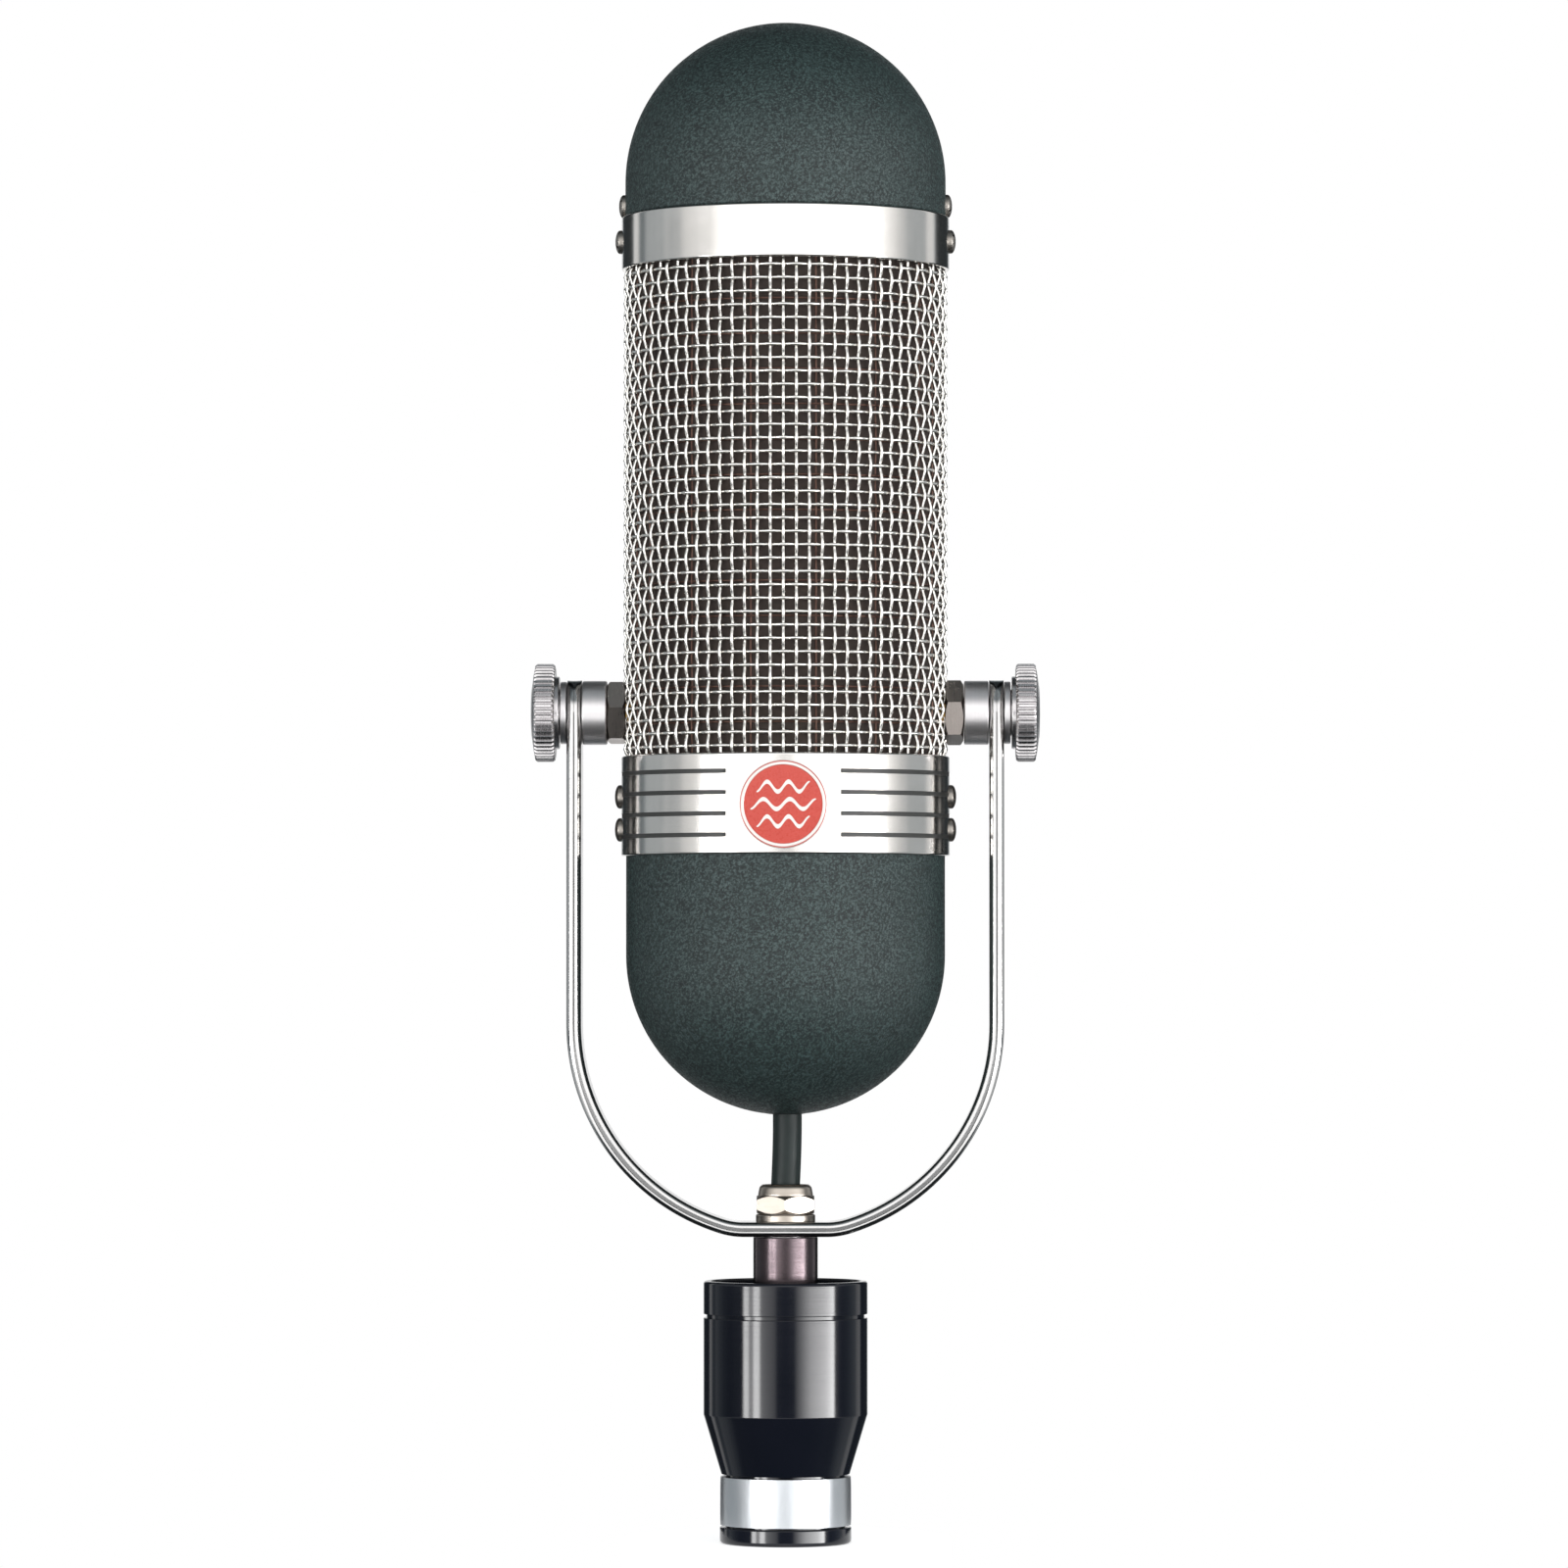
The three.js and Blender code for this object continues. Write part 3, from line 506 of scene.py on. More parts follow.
class Shape(Nodes):
    """A geometry node tree with its sizes as named inputs, run once to give a plain mesh."""

    def __init__(self, name, *sizes):
        tree = bpy.data.node_groups.new(name, "GeometryNodeTree")
        super().__init__(tree)
        tree.interface.new_socket("Geometry", in_out="OUTPUT", socket_type="NodeSocketGeometry")
        for size in sizes:
            tree.interface.new_socket(size, in_out="INPUT", socket_type="NodeSocketFloat")
        inlet = tree.nodes.new("NodeGroupInput")
        self.size = {size: Signal(self, inlet.outputs[size]) for size in sizes}

    def finish(self, geometry, finish):
        """Ends the tree with real geometry in the finish of its piece."""
        real = self.add("GeometryNodeRealizeInstances", None, {"Geometry": geometry})
        values = {"Geometry": real, "Material": finish.material}
        painted = self.add("GeometryNodeSetMaterial", None, values)
        self.feed(self.tree.nodes.new("NodeGroupOutput").inputs["Geometry"], painted)

    def made(self, name, source=None, crease=None, **sizes):
        """A plain mesh object of the tree's result at the given sizes."""
        carrier = source or bpy.data.objects.new(name, bpy.data.meshes.new(name))
        if not source:
            bpy.context.scene.collection.objects.link(carrier)
        modifier = carrier.modifiers.new(name, "NODES")
        modifier.node_group = self.tree
        for item in self.tree.interface.items_tree:
            if item.in_out == "INPUT":
                modifier[item.identifier] = float(sizes[item.name.replace(" ", "_")])
        evaluated = carrier.evaluated_get(bpy.context.evaluated_depsgraph_get())
        mesh = bpy.data.meshes.new_from_object(evaluated)
        carrier.modifiers.remove(modifier)
        carrier.data = mesh
        carrier.name = name
        mesh.shade_smooth()
        if crease:
            mesh.set_sharp_from_angle(angle=math.radians(crease))
        return carrier


def woven(kind, finish):
    """Crimped wires that stand round a tube, or crimped hoops stacked up it, half a pitch in."""
    tree = Shape("woven_" + kind, "Radius", "Bottom", "Pitch", "Rows", "Columns", "Crimp",
                 "Wire Radius", "Steps", "Tuck")
    size = tree.size
    upright = kind == "uprights"
    height = size["Pitch"] * size["Rows"]
    turn = size["Columns"] ** -1 * (2 * math.pi)
    number = size["Columns"] if upright else size["Rows"]
    steps = size["Rows"] * size["Steps"] if upright else size["Columns"] * size["Steps"]
    line = tree.add("GeometryNodeCurvePrimitiveLine") if upright else tree.add(
        "GeometryNodeCurvePrimitiveCircle", {"mode": "RADIUS"}, {"Resolution": steps})
    wire = line
    if upright:
        wire = tree.add("GeometryNodeResampleCurve", {"mode": "COUNT"}, {
            "Curve": line, "Count": steps + 1})
    posts = tree.add("GeometryNodeMeshLine", {"mode": "OFFSET"}, {
        "Count": number, "Offset": (0, 0, 0)})
    spread = tree.add("GeometryNodeInstanceOnPoints", None, {"Points": posts, "Instance": wire})
    loose = tree.add("GeometryNodeRealizeInstances", None, {"Geometry": spread})
    point = tree.add("GeometryNodeInputIndex")
    per_wire = steps + 1 if upright else steps
    which = (point / per_wire).maths("FLOOR")
    step = point - which * per_wire
    flip = 1 - which.maths("MODULO", 2) * 2
    if upright:
        wave = ((step / size["Steps"] - 0.5) * math.pi).maths("COSINE")
        angle = which * turn
        rise = step / steps
        ends = (rise - 0.5).maths("ABSOLUTE").rise(0.5, 0.49, 1.0, 0.0)
        reach = size["Radius"] + size["Crimp"] * wave * flip - size["Tuck"] * ends
        level = size["Bottom"] + height * rise
    else:
        wave = (step / size["Steps"] * math.pi).maths("COSINE")
        angle = step / size["Steps"] * turn
        reach = size["Radius"] - size["Crimp"] * wave * flip
        level = size["Bottom"] + size["Pitch"] * (which + 0.5)
    values = {0: reach * angle.maths("SINE"), 1: reach * angle.maths("COSINE") * -1, 2: level}
    place = tree.add("ShaderNodeCombineXYZ", None, values)
    bent = tree.add("GeometryNodeSetPosition", None, {"Geometry": loose, "Position": place})
    section = tree.add("GeometryNodeCurvePrimitiveCircle", {"mode": "RADIUS"}, {
        "Resolution": 6, "Radius": size["Wire Radius"]})
    tree.finish(tree.add("GeometryNodeCurveToMesh", None, {
        "Curve": bent, "Profile Curve": section, "Fill Caps": True}), finish)
    return tree


bright_wire = Finish("bright_nickel_wire", tint(232, 229, 222), 0.2, 1.0)
wire_tarnish = bright_wire.noise(1.2 * MM, detail=3.0)
bright_wire.set(Roughness=wire_tarnish * 0.25 + 0.12)
bright_wire.set(Base_Color=bright_wire.blend(wire_tarnish, tint(247, 246, 243), tint(226, 222, 215)))
drawn_lines = bright_wire.noise(1.0, detail=2.0, at=bright_wire.stretched(9000, 9000, 400))
bright_wire.bump(drawn_lines, 0.004 * MM)

grille_low, grille_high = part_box("grille_mesh")
wire_radius = 0.34 * MM
mesh_columns = 78
mesh_rows = 37
mesh_middle = grille_high.x - 2 * wire_radius
mesh_sizes = {
    "Radius": mesh_middle, "Bottom": grille_low.z, "Rows": mesh_rows, "Columns": mesh_columns,
    "Pitch": (grille_high.z - grille_low.z) / mesh_rows, "Crimp": wire_radius,
    "Wire_Radius": wire_radius, "Steps": 4, "Tuck": 0.3 * MM}
uprights = woven("uprights", bright_wire).made("grille_upright_wires", **mesh_sizes)
hoops = woven("hoops", bright_wire).made("grille_hoop_wires", **mesh_sizes)
fit(uprights, "head", "nickel_wire", "grille_mesh")
fit(hoops, "head", "nickel_wire", "grille_mesh")

# ---- Support grid -----------------------------------------------------------------------
# A coarse grid of bronze wire stands just behind the grille and keeps the cloth off it. It
# is the same kind of weave, four wires to the inch, dull brown with age.
bronze_wire = Finish("dull_bronze_wire", tint(120, 98, 84), 0.45, 0.9)
bronze_patina = bronze_wire.noise(2.5 * MM, detail=4.0)
bronze_wire.set(Base_Color=bronze_wire.blend(bronze_patina, tint(122, 96, 86), tint(60, 44, 40)))
bronze_wire.set(Roughness=bronze_patina * 0.3 + 0.3)
grid_low, grid_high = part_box("support_grid")
grid_wire = 0.24 * MM
grid_inset = 0.55 * MM
grid_rows = 15
grid_sizes = {
    "Radius": -grid_low.x - grid_inset - grid_wire, "Bottom": grid_low.z, "Rows": grid_rows,
    "Columns": 30, "Pitch": (grid_high.z - grid_low.z) / grid_rows, "Crimp": 0.1 * MM,
    "Wire_Radius": grid_wire, "Steps": 8, "Tuck": 0.0}
grid_uprights = woven("uprights", bronze_wire).made("support_grid_uprights", **grid_sizes)
grid_hoops = woven("hoops", bronze_wire).made("support_grid_hoops", **grid_sizes)
fit(grid_uprights, "head", "bronze_wire", "support_grid")
fit(grid_hoops, "head", "bronze_wire", "support_grid")

# ---- Acoustic cloth ---------------------------------------------------------------------
# Fine dark brown silk, sewn into a tube, lines the grille and keeps dust off the ribbon.
silk = Finish("dark_brown_silk", tint(44, 36, 33), 0.85)
silk_low, silk_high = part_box("acoustic_screen")
thread_width = 0.32 * MM
silk_turns = 2 * math.pi * silk_high.x / thread_width
silk_around = silk.add("ShaderNodeSeparateXYZ", None, {"Vector": silk.place}, output=0).maths(
    "ARCTAN2", silk.add("ShaderNodeSeparateXYZ", None, {"Vector": silk.place}, output=1))
silk_up = silk.add("ShaderNodeSeparateXYZ", None, {"Vector": silk.place}, output=2)
warp = (silk_around * silk_turns).maths("SINE")
weft = (silk_up * (2 * math.pi / thread_width)).maths("SINE")
threads = warp * weft * 0.5 + 0.5
slub = silk.noise(2.2 * MM, detail=5.0, rough=0.6)
silk_shade = threads * 0.35 + slub * 0.65
silk.set(Base_Color=silk.blend(silk_shade, tint(22, 19, 18), tint(70, 58, 52)))
silk.bump(threads, 0.05 * MM)
silk_thickness = 0.3 * MM
silk_profile = [
    (silk_high.x - silk_thickness, silk_low.z), (silk_high.x, silk_low.z),
    (silk_high.x, silk_high.z), (silk_high.x - silk_thickness, silk_high.z)]
cloth = piece("acoustic_cloth", turned(silk_profile, 120), silk)
fit(cloth, "head", "lining_cloth", "acoustic_screen")

# ---- Badge ------------------------------------------------------------------------------
# A round nickel medallion with a pool of red vitreous enamel and a fine dark red line round
# its rim. Its raised figure is three waves, drawn for this model and standing for sound.


def laid(mesh, axis, degrees, place=(0, 0, 0)):
    """Turns a mesh about one axis and then moves it to its place."""
    turn = Matrix.Rotation(math.radians(degrees), 4, axis)
    bmesh.ops.transform(mesh, matrix=Matrix.Translation(place) @ turn, verts=mesh.verts)
    return mesh


def joined(*meshes):
    """One mesh holding several, each keeping its own material numbers."""
    whole = bmesh.new()
    for part in meshes:
        data = bpy.data.meshes.new("part")
        part.to_mesh(data)
        part.free()
        whole.from_mesh(data)
        bpy.data.meshes.remove(data)
    return whole


def in_finish(mesh, number):
    for face in mesh.faces:
        face.material_index = number
    return mesh


red_enamel = Finish("red_vitreous_enamel", tint(190, 74, 64), 0.3, Specular_IOR_Level=0.3)
enamel_cloud = red_enamel.noise(1.6 * MM, detail=3.0)
red_enamel.set(Base_Color=red_enamel.blend(enamel_cloud, tint(196, 80, 70), tint(184, 70, 60)))
enamel_pits = red_enamel.noise(0.5 * MM, detail=2.0)
red_enamel.set(Roughness=enamel_pits * 0.12 + 0.22)
red_enamel.bump(enamel_pits, 0.006 * MM)

badge_low, badge_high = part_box("badge_bezel")
badge_radius = badge_high.x
badge_height = (badge_low.z + badge_high.z) / 2
badge_front = -badge_low.y
badge_back = badge_front - 1.75 * MM
pool_radius = 7.5 * MM
line_outer = 8.27 * MM
line_inner = 8.1 * MM
bezel_outline = softened([
    (0, badge_back, 0), (badge_radius, badge_back, 0), (badge_radius, badge_front - 0.1 * MM, 0.08 * MM),
    (line_outer, badge_front - 0.06 * MM, 0), (line_outer, badge_front - 0.2 * MM, 0),
    (line_inner, badge_front - 0.2 * MM, 0), (line_inner, badge_front, 0.06 * MM),
    (pool_radius, badge_front, 0.1 * MM), (pool_radius, badge_front - 0.5 * MM, 0),
    (0, badge_front - 0.5 * MM, 0)])
line_outline = [
    (line_inner, badge_front - 0.25 * MM), (line_outer, badge_front - 0.25 * MM),
    (line_outer, badge_front - 0.09 * MM), (line_inner, badge_front - 0.07 * MM)]
pool_outline = softened([
    (0, badge_front - 0.6 * MM, 0), (pool_radius, badge_front - 0.6 * MM, 0),
    (pool_radius, badge_front - 0.14 * MM, 0), (pool_radius * 0.93, badge_front - 0.1 * MM, 0),
    (0, badge_front - 0.06 * MM, 0)])


def wave(height, chord, swell, stroke):
    """A raised wavy stroke across the badge, fading to a point at each end."""
    mesh = bmesh.new()
    rings = []
    steps = 64
    for step in range(steps + 1):
        share = step / steps * 2 - 1
        centre = height + swell * math.sin(share * 2.5 * math.pi)
        half = stroke / 2 * math.sqrt(max(1 - share ** 4, 0.0)) + 0.01 * MM
        ring = [(-1, 0.3 * MM), (1, 0.3 * MM), (0.72, 0.03 * MM), (-0.72, 0.03 * MM)]
        rings.append([
            mesh.verts.new((share * chord, sink - badge_front, centre + side * half))
            for side, sink in ring])
    capped(mesh, rings, 4)
    bmesh.ops.translate(mesh, vec=(0, 0, badge_height), verts=mesh.verts)
    return mesh


wave_spacing = 3.3 * MM
waves = []
for step, chord in ((-1, 5.1 * MM), (0, 6.3 * MM), (1, 5.1 * MM)):
    waves.append(wave(step * wave_spacing, chord, 0.95 * MM, 1.15 * MM))
facing = ("X", 90, (0, 0, badge_height))
bezel = laid(turned(bezel_outline, 96), *facing)
pool = in_finish(laid(turned(pool_outline, 96), *facing), 1)
rim_line = in_finish(laid(turned(line_outline, 96), *facing), 1)
badge_nickel = polished_nickel_finish("satin_badge_nickel", 0.42)
badge = piece("badge_medallion", joined(bezel, pool, rim_line, *waves), badge_nickel, red_enamel)
fit(badge, "head", "red_enamel", "badge_bezel", "badge_enamel")

# ---- Side screws ------------------------------------------------------------------------
# Slotted round-head screws of nickel-plated brass pass through the bands and the dome into
# the frame plates, two of them on each side at the top and two at the bottom.


def cut_away(body, cutter):
    """Cuts one mesh object with another, and keeps the result as a plain mesh."""
    modifier = body.modifiers.new("cut", "BOOLEAN")
    modifier.object = cutter
    modifier.operation = "DIFFERENCE"
    modifier.solver = "EXACT"
    evaluated = body.evaluated_get(bpy.context.evaluated_depsgraph_get())
    mesh = bpy.data.meshes.new_from_object(evaluated)
    body.modifiers.remove(modifier)
    body.data = mesh
    bpy.data.objects.remove(cutter)
    mesh.shade_smooth()
    mesh.set_sharp_from_angle(angle=math.radians(32))
    return body


def bar(low, high):
    """A plain block between two corners, used only to cut."""
    mesh = bmesh.new()
    bmesh.ops.create_cube(mesh, size=1)
    span = Vector(high) - Vector(low)
    bmesh.ops.scale(mesh, vec=span, verts=mesh.verts)
    bmesh.ops.translate(mesh, vec=(Vector(low) + Vector(high)) / 2, verts=mesh.verts)
    return mesh


def copies_about(axis, shape, finish):
    """A tree that repeats a shape evenly about an axis through a point on the Z axis."""
    tree = Shape("copies_about_" + axis, "Count", "Height")
    number = tree.size["Count"]
    points = tree.add("GeometryNodeMeshLine", {"mode": "OFFSET"}, {"Count": number, "Offset": (0, 0, 0)})
    centre = tree.add("ShaderNodeCombineXYZ", None, {2: tree.size["Height"]})
    risen = tree.add("GeometryNodeSetPosition", None, {"Geometry": points, "Position": centre})
    angle = tree.add("GeometryNodeInputIndex") * (2 * math.pi) / number
    turns = tree.add("ShaderNodeCombineXYZ", None, {"XYZ".index(axis): angle})
    source = tree.add("GeometryNodeObjectInfo", None, {"Object": shape}, output=4)
    values = {"Points": risen, "Instance": source, "Rotation": turns}
    tree.finish(tree.add("GeometryNodeInstanceOnPoints", None, values), finish)
    return tree


def turned_steel_finish(name, light, dark, roughness=0.3, along=0):
    """Machined steel whose lathe rings follow one another along an axis, X being 0."""
    steel = Finish(name, light, roughness, 1.0)
    scale = [60, 60, 60]
    scale[along] = 4200
    rings = steel.noise(1.0, detail=6.0, rough=0.75, at=steel.stretched(*scale))
    stains = steel.noise(3.5 * MM, detail=4.0)
    steel.set(Base_Color=steel.blend(rings * 0.5 + stains * 0.5, light, dark))
    steel.set(Roughness=rings * 0.16 + stains * 0.1 + (roughness - 0.1))
    steel.bump(rings, 0.012 * MM)
    return steel


screw_nickel = turned_steel_finish("screw_nickel", tint(176, 172, 166), tint(120, 114, 108), 0.34)
screw_radius = 2.3 * MM
screw_rise = 1.25 * MM
slot_lean, slot_lean_step, slot_lean_per_metre = 37, 50, 9000
screw_rows = (
    ("dome_screw", dome_radius), ("top_band_screw", upper_band_radius),
    ("low_band_screw_upper", band_radius), ("low_band_screw_lower", band_radius))
for node, seat in screw_rows:
    left, right = node + "_left", node + "_right"
    screw_height = sum(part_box(right), Vector()).z / 2
    crown = [(screw_radius * math.cos(a), seat + screw_rise * (0.28 + 0.72 * math.sin(a)), 0)
             for a in (math.radians(angle) for angle in range(0, 91, 10))]
    head = softened([(0, seat - 1.2 * MM, 0), (screw_radius, seat - 1.2 * MM, 0), *crown])
    screw = piece("screw_head", laid(turned(head, 28), "Y", 90), screw_nickel)
    slot_floor = seat + 0.62 * MM
    slot = bar((slot_floor, -3 * MM, -0.24 * MM), (slot_floor + 2 * MM, 3 * MM, 0.24 * MM))
    lean = slot_lean + slot_lean_step * (seat == band_radius) + screw_height * slot_lean_per_metre
    screw = cut_away(screw, piece("screw_slot", laid(slot, "X", lean), screw_nickel))
    pair = copies_about("Z", screw, screw_nickel).made(
        node + "_pair", crease=32, Count=2, Height=screw_height)
    bpy.data.objects.remove(screw)
    fit(pair, "head", "nickel_wire", left, right)

# ---- Pivot nuts and spacers -------------------------------------------------------------
# A bright hexagon nut holds each brass pivot bush to the frame, and a turned steel spacer
# stands between it and the arm of the yoke. The lathe has left fine rings on the spacer.


def hexagon(bore, flats, low, high, chamfer=1.0):
    """A hexagon nut about Z, its corners turned off by a cone at both ends."""
    mesh = bmesh.new()
    sides = 96
    slope = math.tan(math.radians(30))
    apothem = flats / 2
    rings = [[] for _ in range(8)]
    for side in range(sides):
        angle = 2 * math.pi * side / sides
        reach = apothem / math.cos((angle % (math.pi / 3)) - math.pi / 6)
        drop = max(reach - apothem * 0.99, 0) * slope * chamfer
        flat = apothem * 0.97
        brow = apothem * 0.99
        dip = drop + 0.05 * MM
        levels = (
            (bore, low), (flat, low), (brow, low + 0.02 * MM), (reach, low + dip),
            (reach, high - dip), (brow, high - 0.02 * MM), (flat, high), (bore, high))
        for ring, (radius, height) in zip(rings, levels):
            place = (radius * math.sin(angle), -radius * math.cos(angle), height)
            ring.append(mesh.verts.new(place))
    skin(mesh, rings + rings[:1], sides)
    return mesh


nut_steel = turned_steel_finish("nut_steel", tint(176, 167, 163), tint(146, 139, 132), 0.26)
turned_steel = turned_steel_finish("turned_steel", tint(232, 230, 230), tint(208, 204, 206), 0.36)
pivot_height = sum(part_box("pivot_spacer_left"), Vector()).z / 2
nut_flats = 11.1 * MM
nut_lean = {"left": 8, "right": 43}
bush_radius = 4.2 * MM
nut_overlap = 0.8 * MM
thread_bore = 3.3 * MM
for word, side in (("left", -1), ("right", 1)):
    place = ("Y", 90 * side, (0, 0, pivot_height))
    nut_low, nut_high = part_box("pivot_nut_" + word)
    inner, outer = sorted((abs(nut_low.x), abs(nut_high.x)))
    nut_mesh = hexagon(bush_radius + 0.1 * MM, nut_flats, inner - nut_overlap, outer)
    laid(nut_mesh, "Z", nut_lean[word])
    nut = piece("pivot_nut_" + word + "_hexagon", laid(nut_mesh, *place), nut_steel)
    fit(nut, "head", "turned_steel", "pivot_nut_" + word)
    spacer_low, spacer_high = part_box("pivot_spacer_" + word)
    inner, outer = sorted((abs(spacer_low.x), abs(spacer_high.x)))
    spacer_radius = spacer_high.z - pivot_height
    edge = 0.3 * MM
    spacer_outline = softened([
        (thread_bore, inner, 0), (spacer_radius, inner, edge),
        (spacer_radius, outer, edge), (thread_bore, outer, 0)])
    spacer = piece("pivot_spacer_" + word + "_ring", laid(turned(spacer_outline), *place), turned_steel)
    fit(spacer, "head", "turned_steel", "pivot_spacer_" + word)

# ---- Tilt knobs and clamp washers -------------------------------------------------------
# A thumb nut on each side squeezes the arm of the yoke between two washers to hold the
# tilt. Its rim is cut with straight ridges, and its face is turned to a low dome.
knob_steel = turned_steel_finish("knob_steel", tint(222, 220, 220), tint(182, 178, 180), 0.22)
ridge_count = 56
ridge_depth = 0.42 * MM


def ridge(radius, start, end, width):
    """One ridge of the rim at the top of the knob, its ends sloping down to the face."""
    mesh = bmesh.new()
    foot = 0.4 * MM
    levels = ((start, foot), (start + foot, 0.0), (end - foot, 0.0), (end, foot))
    rings = []
    for reach, drop in levels:
        corners = ((-width / 2, -ridge_depth), (-width / 5, -drop * 0.8), (width / 5, -drop * 0.8),
                   (width / 2, -ridge_depth))
        rings.append([
            mesh.verts.new((reach, across, radius + min(sink, 0.0) - (0.1 * MM if index in (0, 3) else 0)))
            for index, (across, sink) in enumerate(corners)])
    return capped(mesh, rings, 4)


for word, side in (("left", -1), ("right", 1)):
    place = ("Y", 90 * side, (0, 0, pivot_height))
    washer_low, washer_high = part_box("clamp_washer_" + word)
    inner, outer = sorted((abs(washer_low.x), abs(washer_high.x)))
    washer_radius = washer_high.z - pivot_height
    washer_outline = softened([
        (3.2 * MM, inner, 0), (washer_radius, inner, 0.2 * MM),
        (washer_radius, outer, 0.2 * MM), (3.2 * MM, outer, 0)])
    washer = piece("clamp_washer_" + word + "_disc", laid(turned(washer_outline), *place), turned_steel)
    fit(washer, word + "_washer", "turned_steel", "clamp_washer_" + word)
    knob_low, knob_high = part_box("clamp_knob_" + word)
    knob_radius = knob_high.z - pivot_height
    knob_end = max(abs(knob_low.x), abs(knob_high.x))
    rim_start, rim_end = 44.6 * MM, 48.6 * MM
    valley = knob_radius - ridge_depth
    shank_radius, neck_radius, hub_radius = 3 * MM, 4.5 * MM, 7.05 * MM
    shank_end, neck_start, hub_start = 25 * MM, 43.65 * MM, 43.85 * MM
    knob_outline = softened([
        (0, shank_end, 0), (shank_radius, shank_end, 0.4 * MM), (shank_radius, neck_start, 0),
        (neck_radius, neck_start, 0.1 * MM), (neck_radius, hub_start, 0),
        (hub_radius, hub_start, 0.15 * MM), (hub_radius, rim_start, 0), (valley - 0.35 * MM, rim_start, 0),
        (valley, rim_start + 0.35 * MM, 0.1 * MM), (valley, rim_end - 0.35 * MM, 0.1 * MM),
        (valley - 0.5 * MM, rim_end, 0.15 * MM), (valley * 0.82, rim_end + 0.22 * MM, 0.3 * MM),
        (valley * 0.5, knob_end - 0.12 * MM, 0.8 * MM), (0, knob_end, 0)])
    knob_body = laid(turned(knob_outline), *place)
    ridge_width = 2 * math.pi * knob_radius / ridge_count * 0.9
    ridge_mesh = ridge(knob_radius, rim_start + 0.1 * MM, rim_end - 0.1 * MM, ridge_width)
    if side < 0:
        laid(ridge_mesh, "Z", 180)
    one_ridge = piece("ridge", ridge_mesh, knob_steel)
    ridges = copies_about("X", one_ridge, knob_steel).made(
        "ridges", Count=ridge_count, Height=pivot_height)
    bpy.data.objects.remove(one_ridge)
    ridge_copy = bmesh.new()
    ridge_copy.from_mesh(ridges.data)
    bpy.data.objects.remove(ridges)
    knob = piece("tilt_knob_" + word, joined(knob_body, ridge_copy), knob_steel, crease=30)
    fit(knob, word + "_knob", "turned_steel", "clamp_knob_" + word)

# ---- Yoke -------------------------------------------------------------------------------
# A steel strap with rounded edges is bent cold into a U, drilled at its two round ends and
# at the middle, then polished along its length and nickel plated.
yoke_steel = Finish("yoke_nickel", tint(204, 203, 202), 0.2, 1.0)
yoke_lines = yoke_steel.noise(1.0, detail=3.0, at=yoke_steel.stretched(140, 2600, 140))
yoke_cloud = yoke_steel.noise(7 * MM, detail=4.0)
yoke_steel.set(Base_Color=yoke_steel.blend(yoke_cloud, tint(214, 213, 211), tint(182, 181, 182)))
yoke_steel.set(Roughness=yoke_lines * 0.04 + yoke_cloud * 0.05 + 0.09)
yoke_steel.bump(yoke_lines, 0.0003 * MM)

yoke_low, yoke_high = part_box("yoke_strap")
strap_thickness = 2.85 * MM
strap_half = (yoke_high.y - yoke_low.y) / 2
arm_middle = yoke_high.x - strap_thickness / 2
bend_radius = yoke_high.x
bend_height = 100.35 * MM
seat_radius = 16 * MM
seat_height = yoke_low.z + seat_radius
seat_half = math.sqrt((bend_radius - seat_radius) ** 2 - (bend_height - seat_height) ** 2)
seat_turn = math.atan2(seat_half, bend_height - seat_height)
arm_corner = 1.3 * MM
corner_change = 1.6
seat_corner = 1.0 * MM


def strap_stations():
    """Places along the middle of one half of the strap: point, outward side, half width."""
    stations = []
    for step in range(13):
        angle = math.radians(90 - 90 * step / 12)
        height = pivot_height + strap_half * math.sin(angle)
        half = max(strap_half * math.cos(angle), 0.02 * MM)
        stations.append((Vector((arm_middle, 0, height)), Vector((1, 0, 0)), half))
    for step in range(1, 9):
        height = pivot_height + (bend_height - pivot_height) * step / 8
        stations.append((Vector((arm_middle, 0, height)), Vector((1, 0, 0)), strap_half))
    bends = (
        (Vector((0, 0, bend_height)), bend_radius, 0, math.pi / 2 - seat_turn, 32),
        (Vector((seat_half, 0, seat_height)), seat_radius, math.pi / 2 - seat_turn, math.pi / 2, 8))
    for centre, radius, start, end, steps in bends:
        for step in range(1, steps + 1):
            angle = start + (end - start) * step / steps
            out = Vector((math.cos(angle), 0, -math.sin(angle)))
            stations.append((centre + out * (radius - strap_thickness / 2), out, strap_half))
    return stations


def strap_mesh():
    half_run = strap_stations()
    mirror = [
        (Vector((-point.x, 0, point.z)), Vector((-out.x, 0, out.z)), half)
        for point, out, half in reversed(half_run)]
    mesh = bmesh.new()
    rings = []
    for point, out, half in half_run + mirror:
        share = min(max(-out.z, 0.0) * corner_change, 1.0)
        corner = min(arm_corner + (seat_corner - arm_corner) * share, half * 0.9)
        thick = strap_thickness / 2
        section = softened([
            (-thick, -half, corner), (thick, -half, corner),
            (thick, half, corner), (-thick, half, corner)], 6)
        rings.append([mesh.verts.new(point + out * place.x + Vector((0, place.y, 0))) for place in section])
    return capped(mesh, rings, len(rings[0]))


yoke = piece("yoke_arm", strap_mesh(), yoke_steel, crease=40)
fit(yoke, "yoke", "polished_nickel", "yoke_strap")

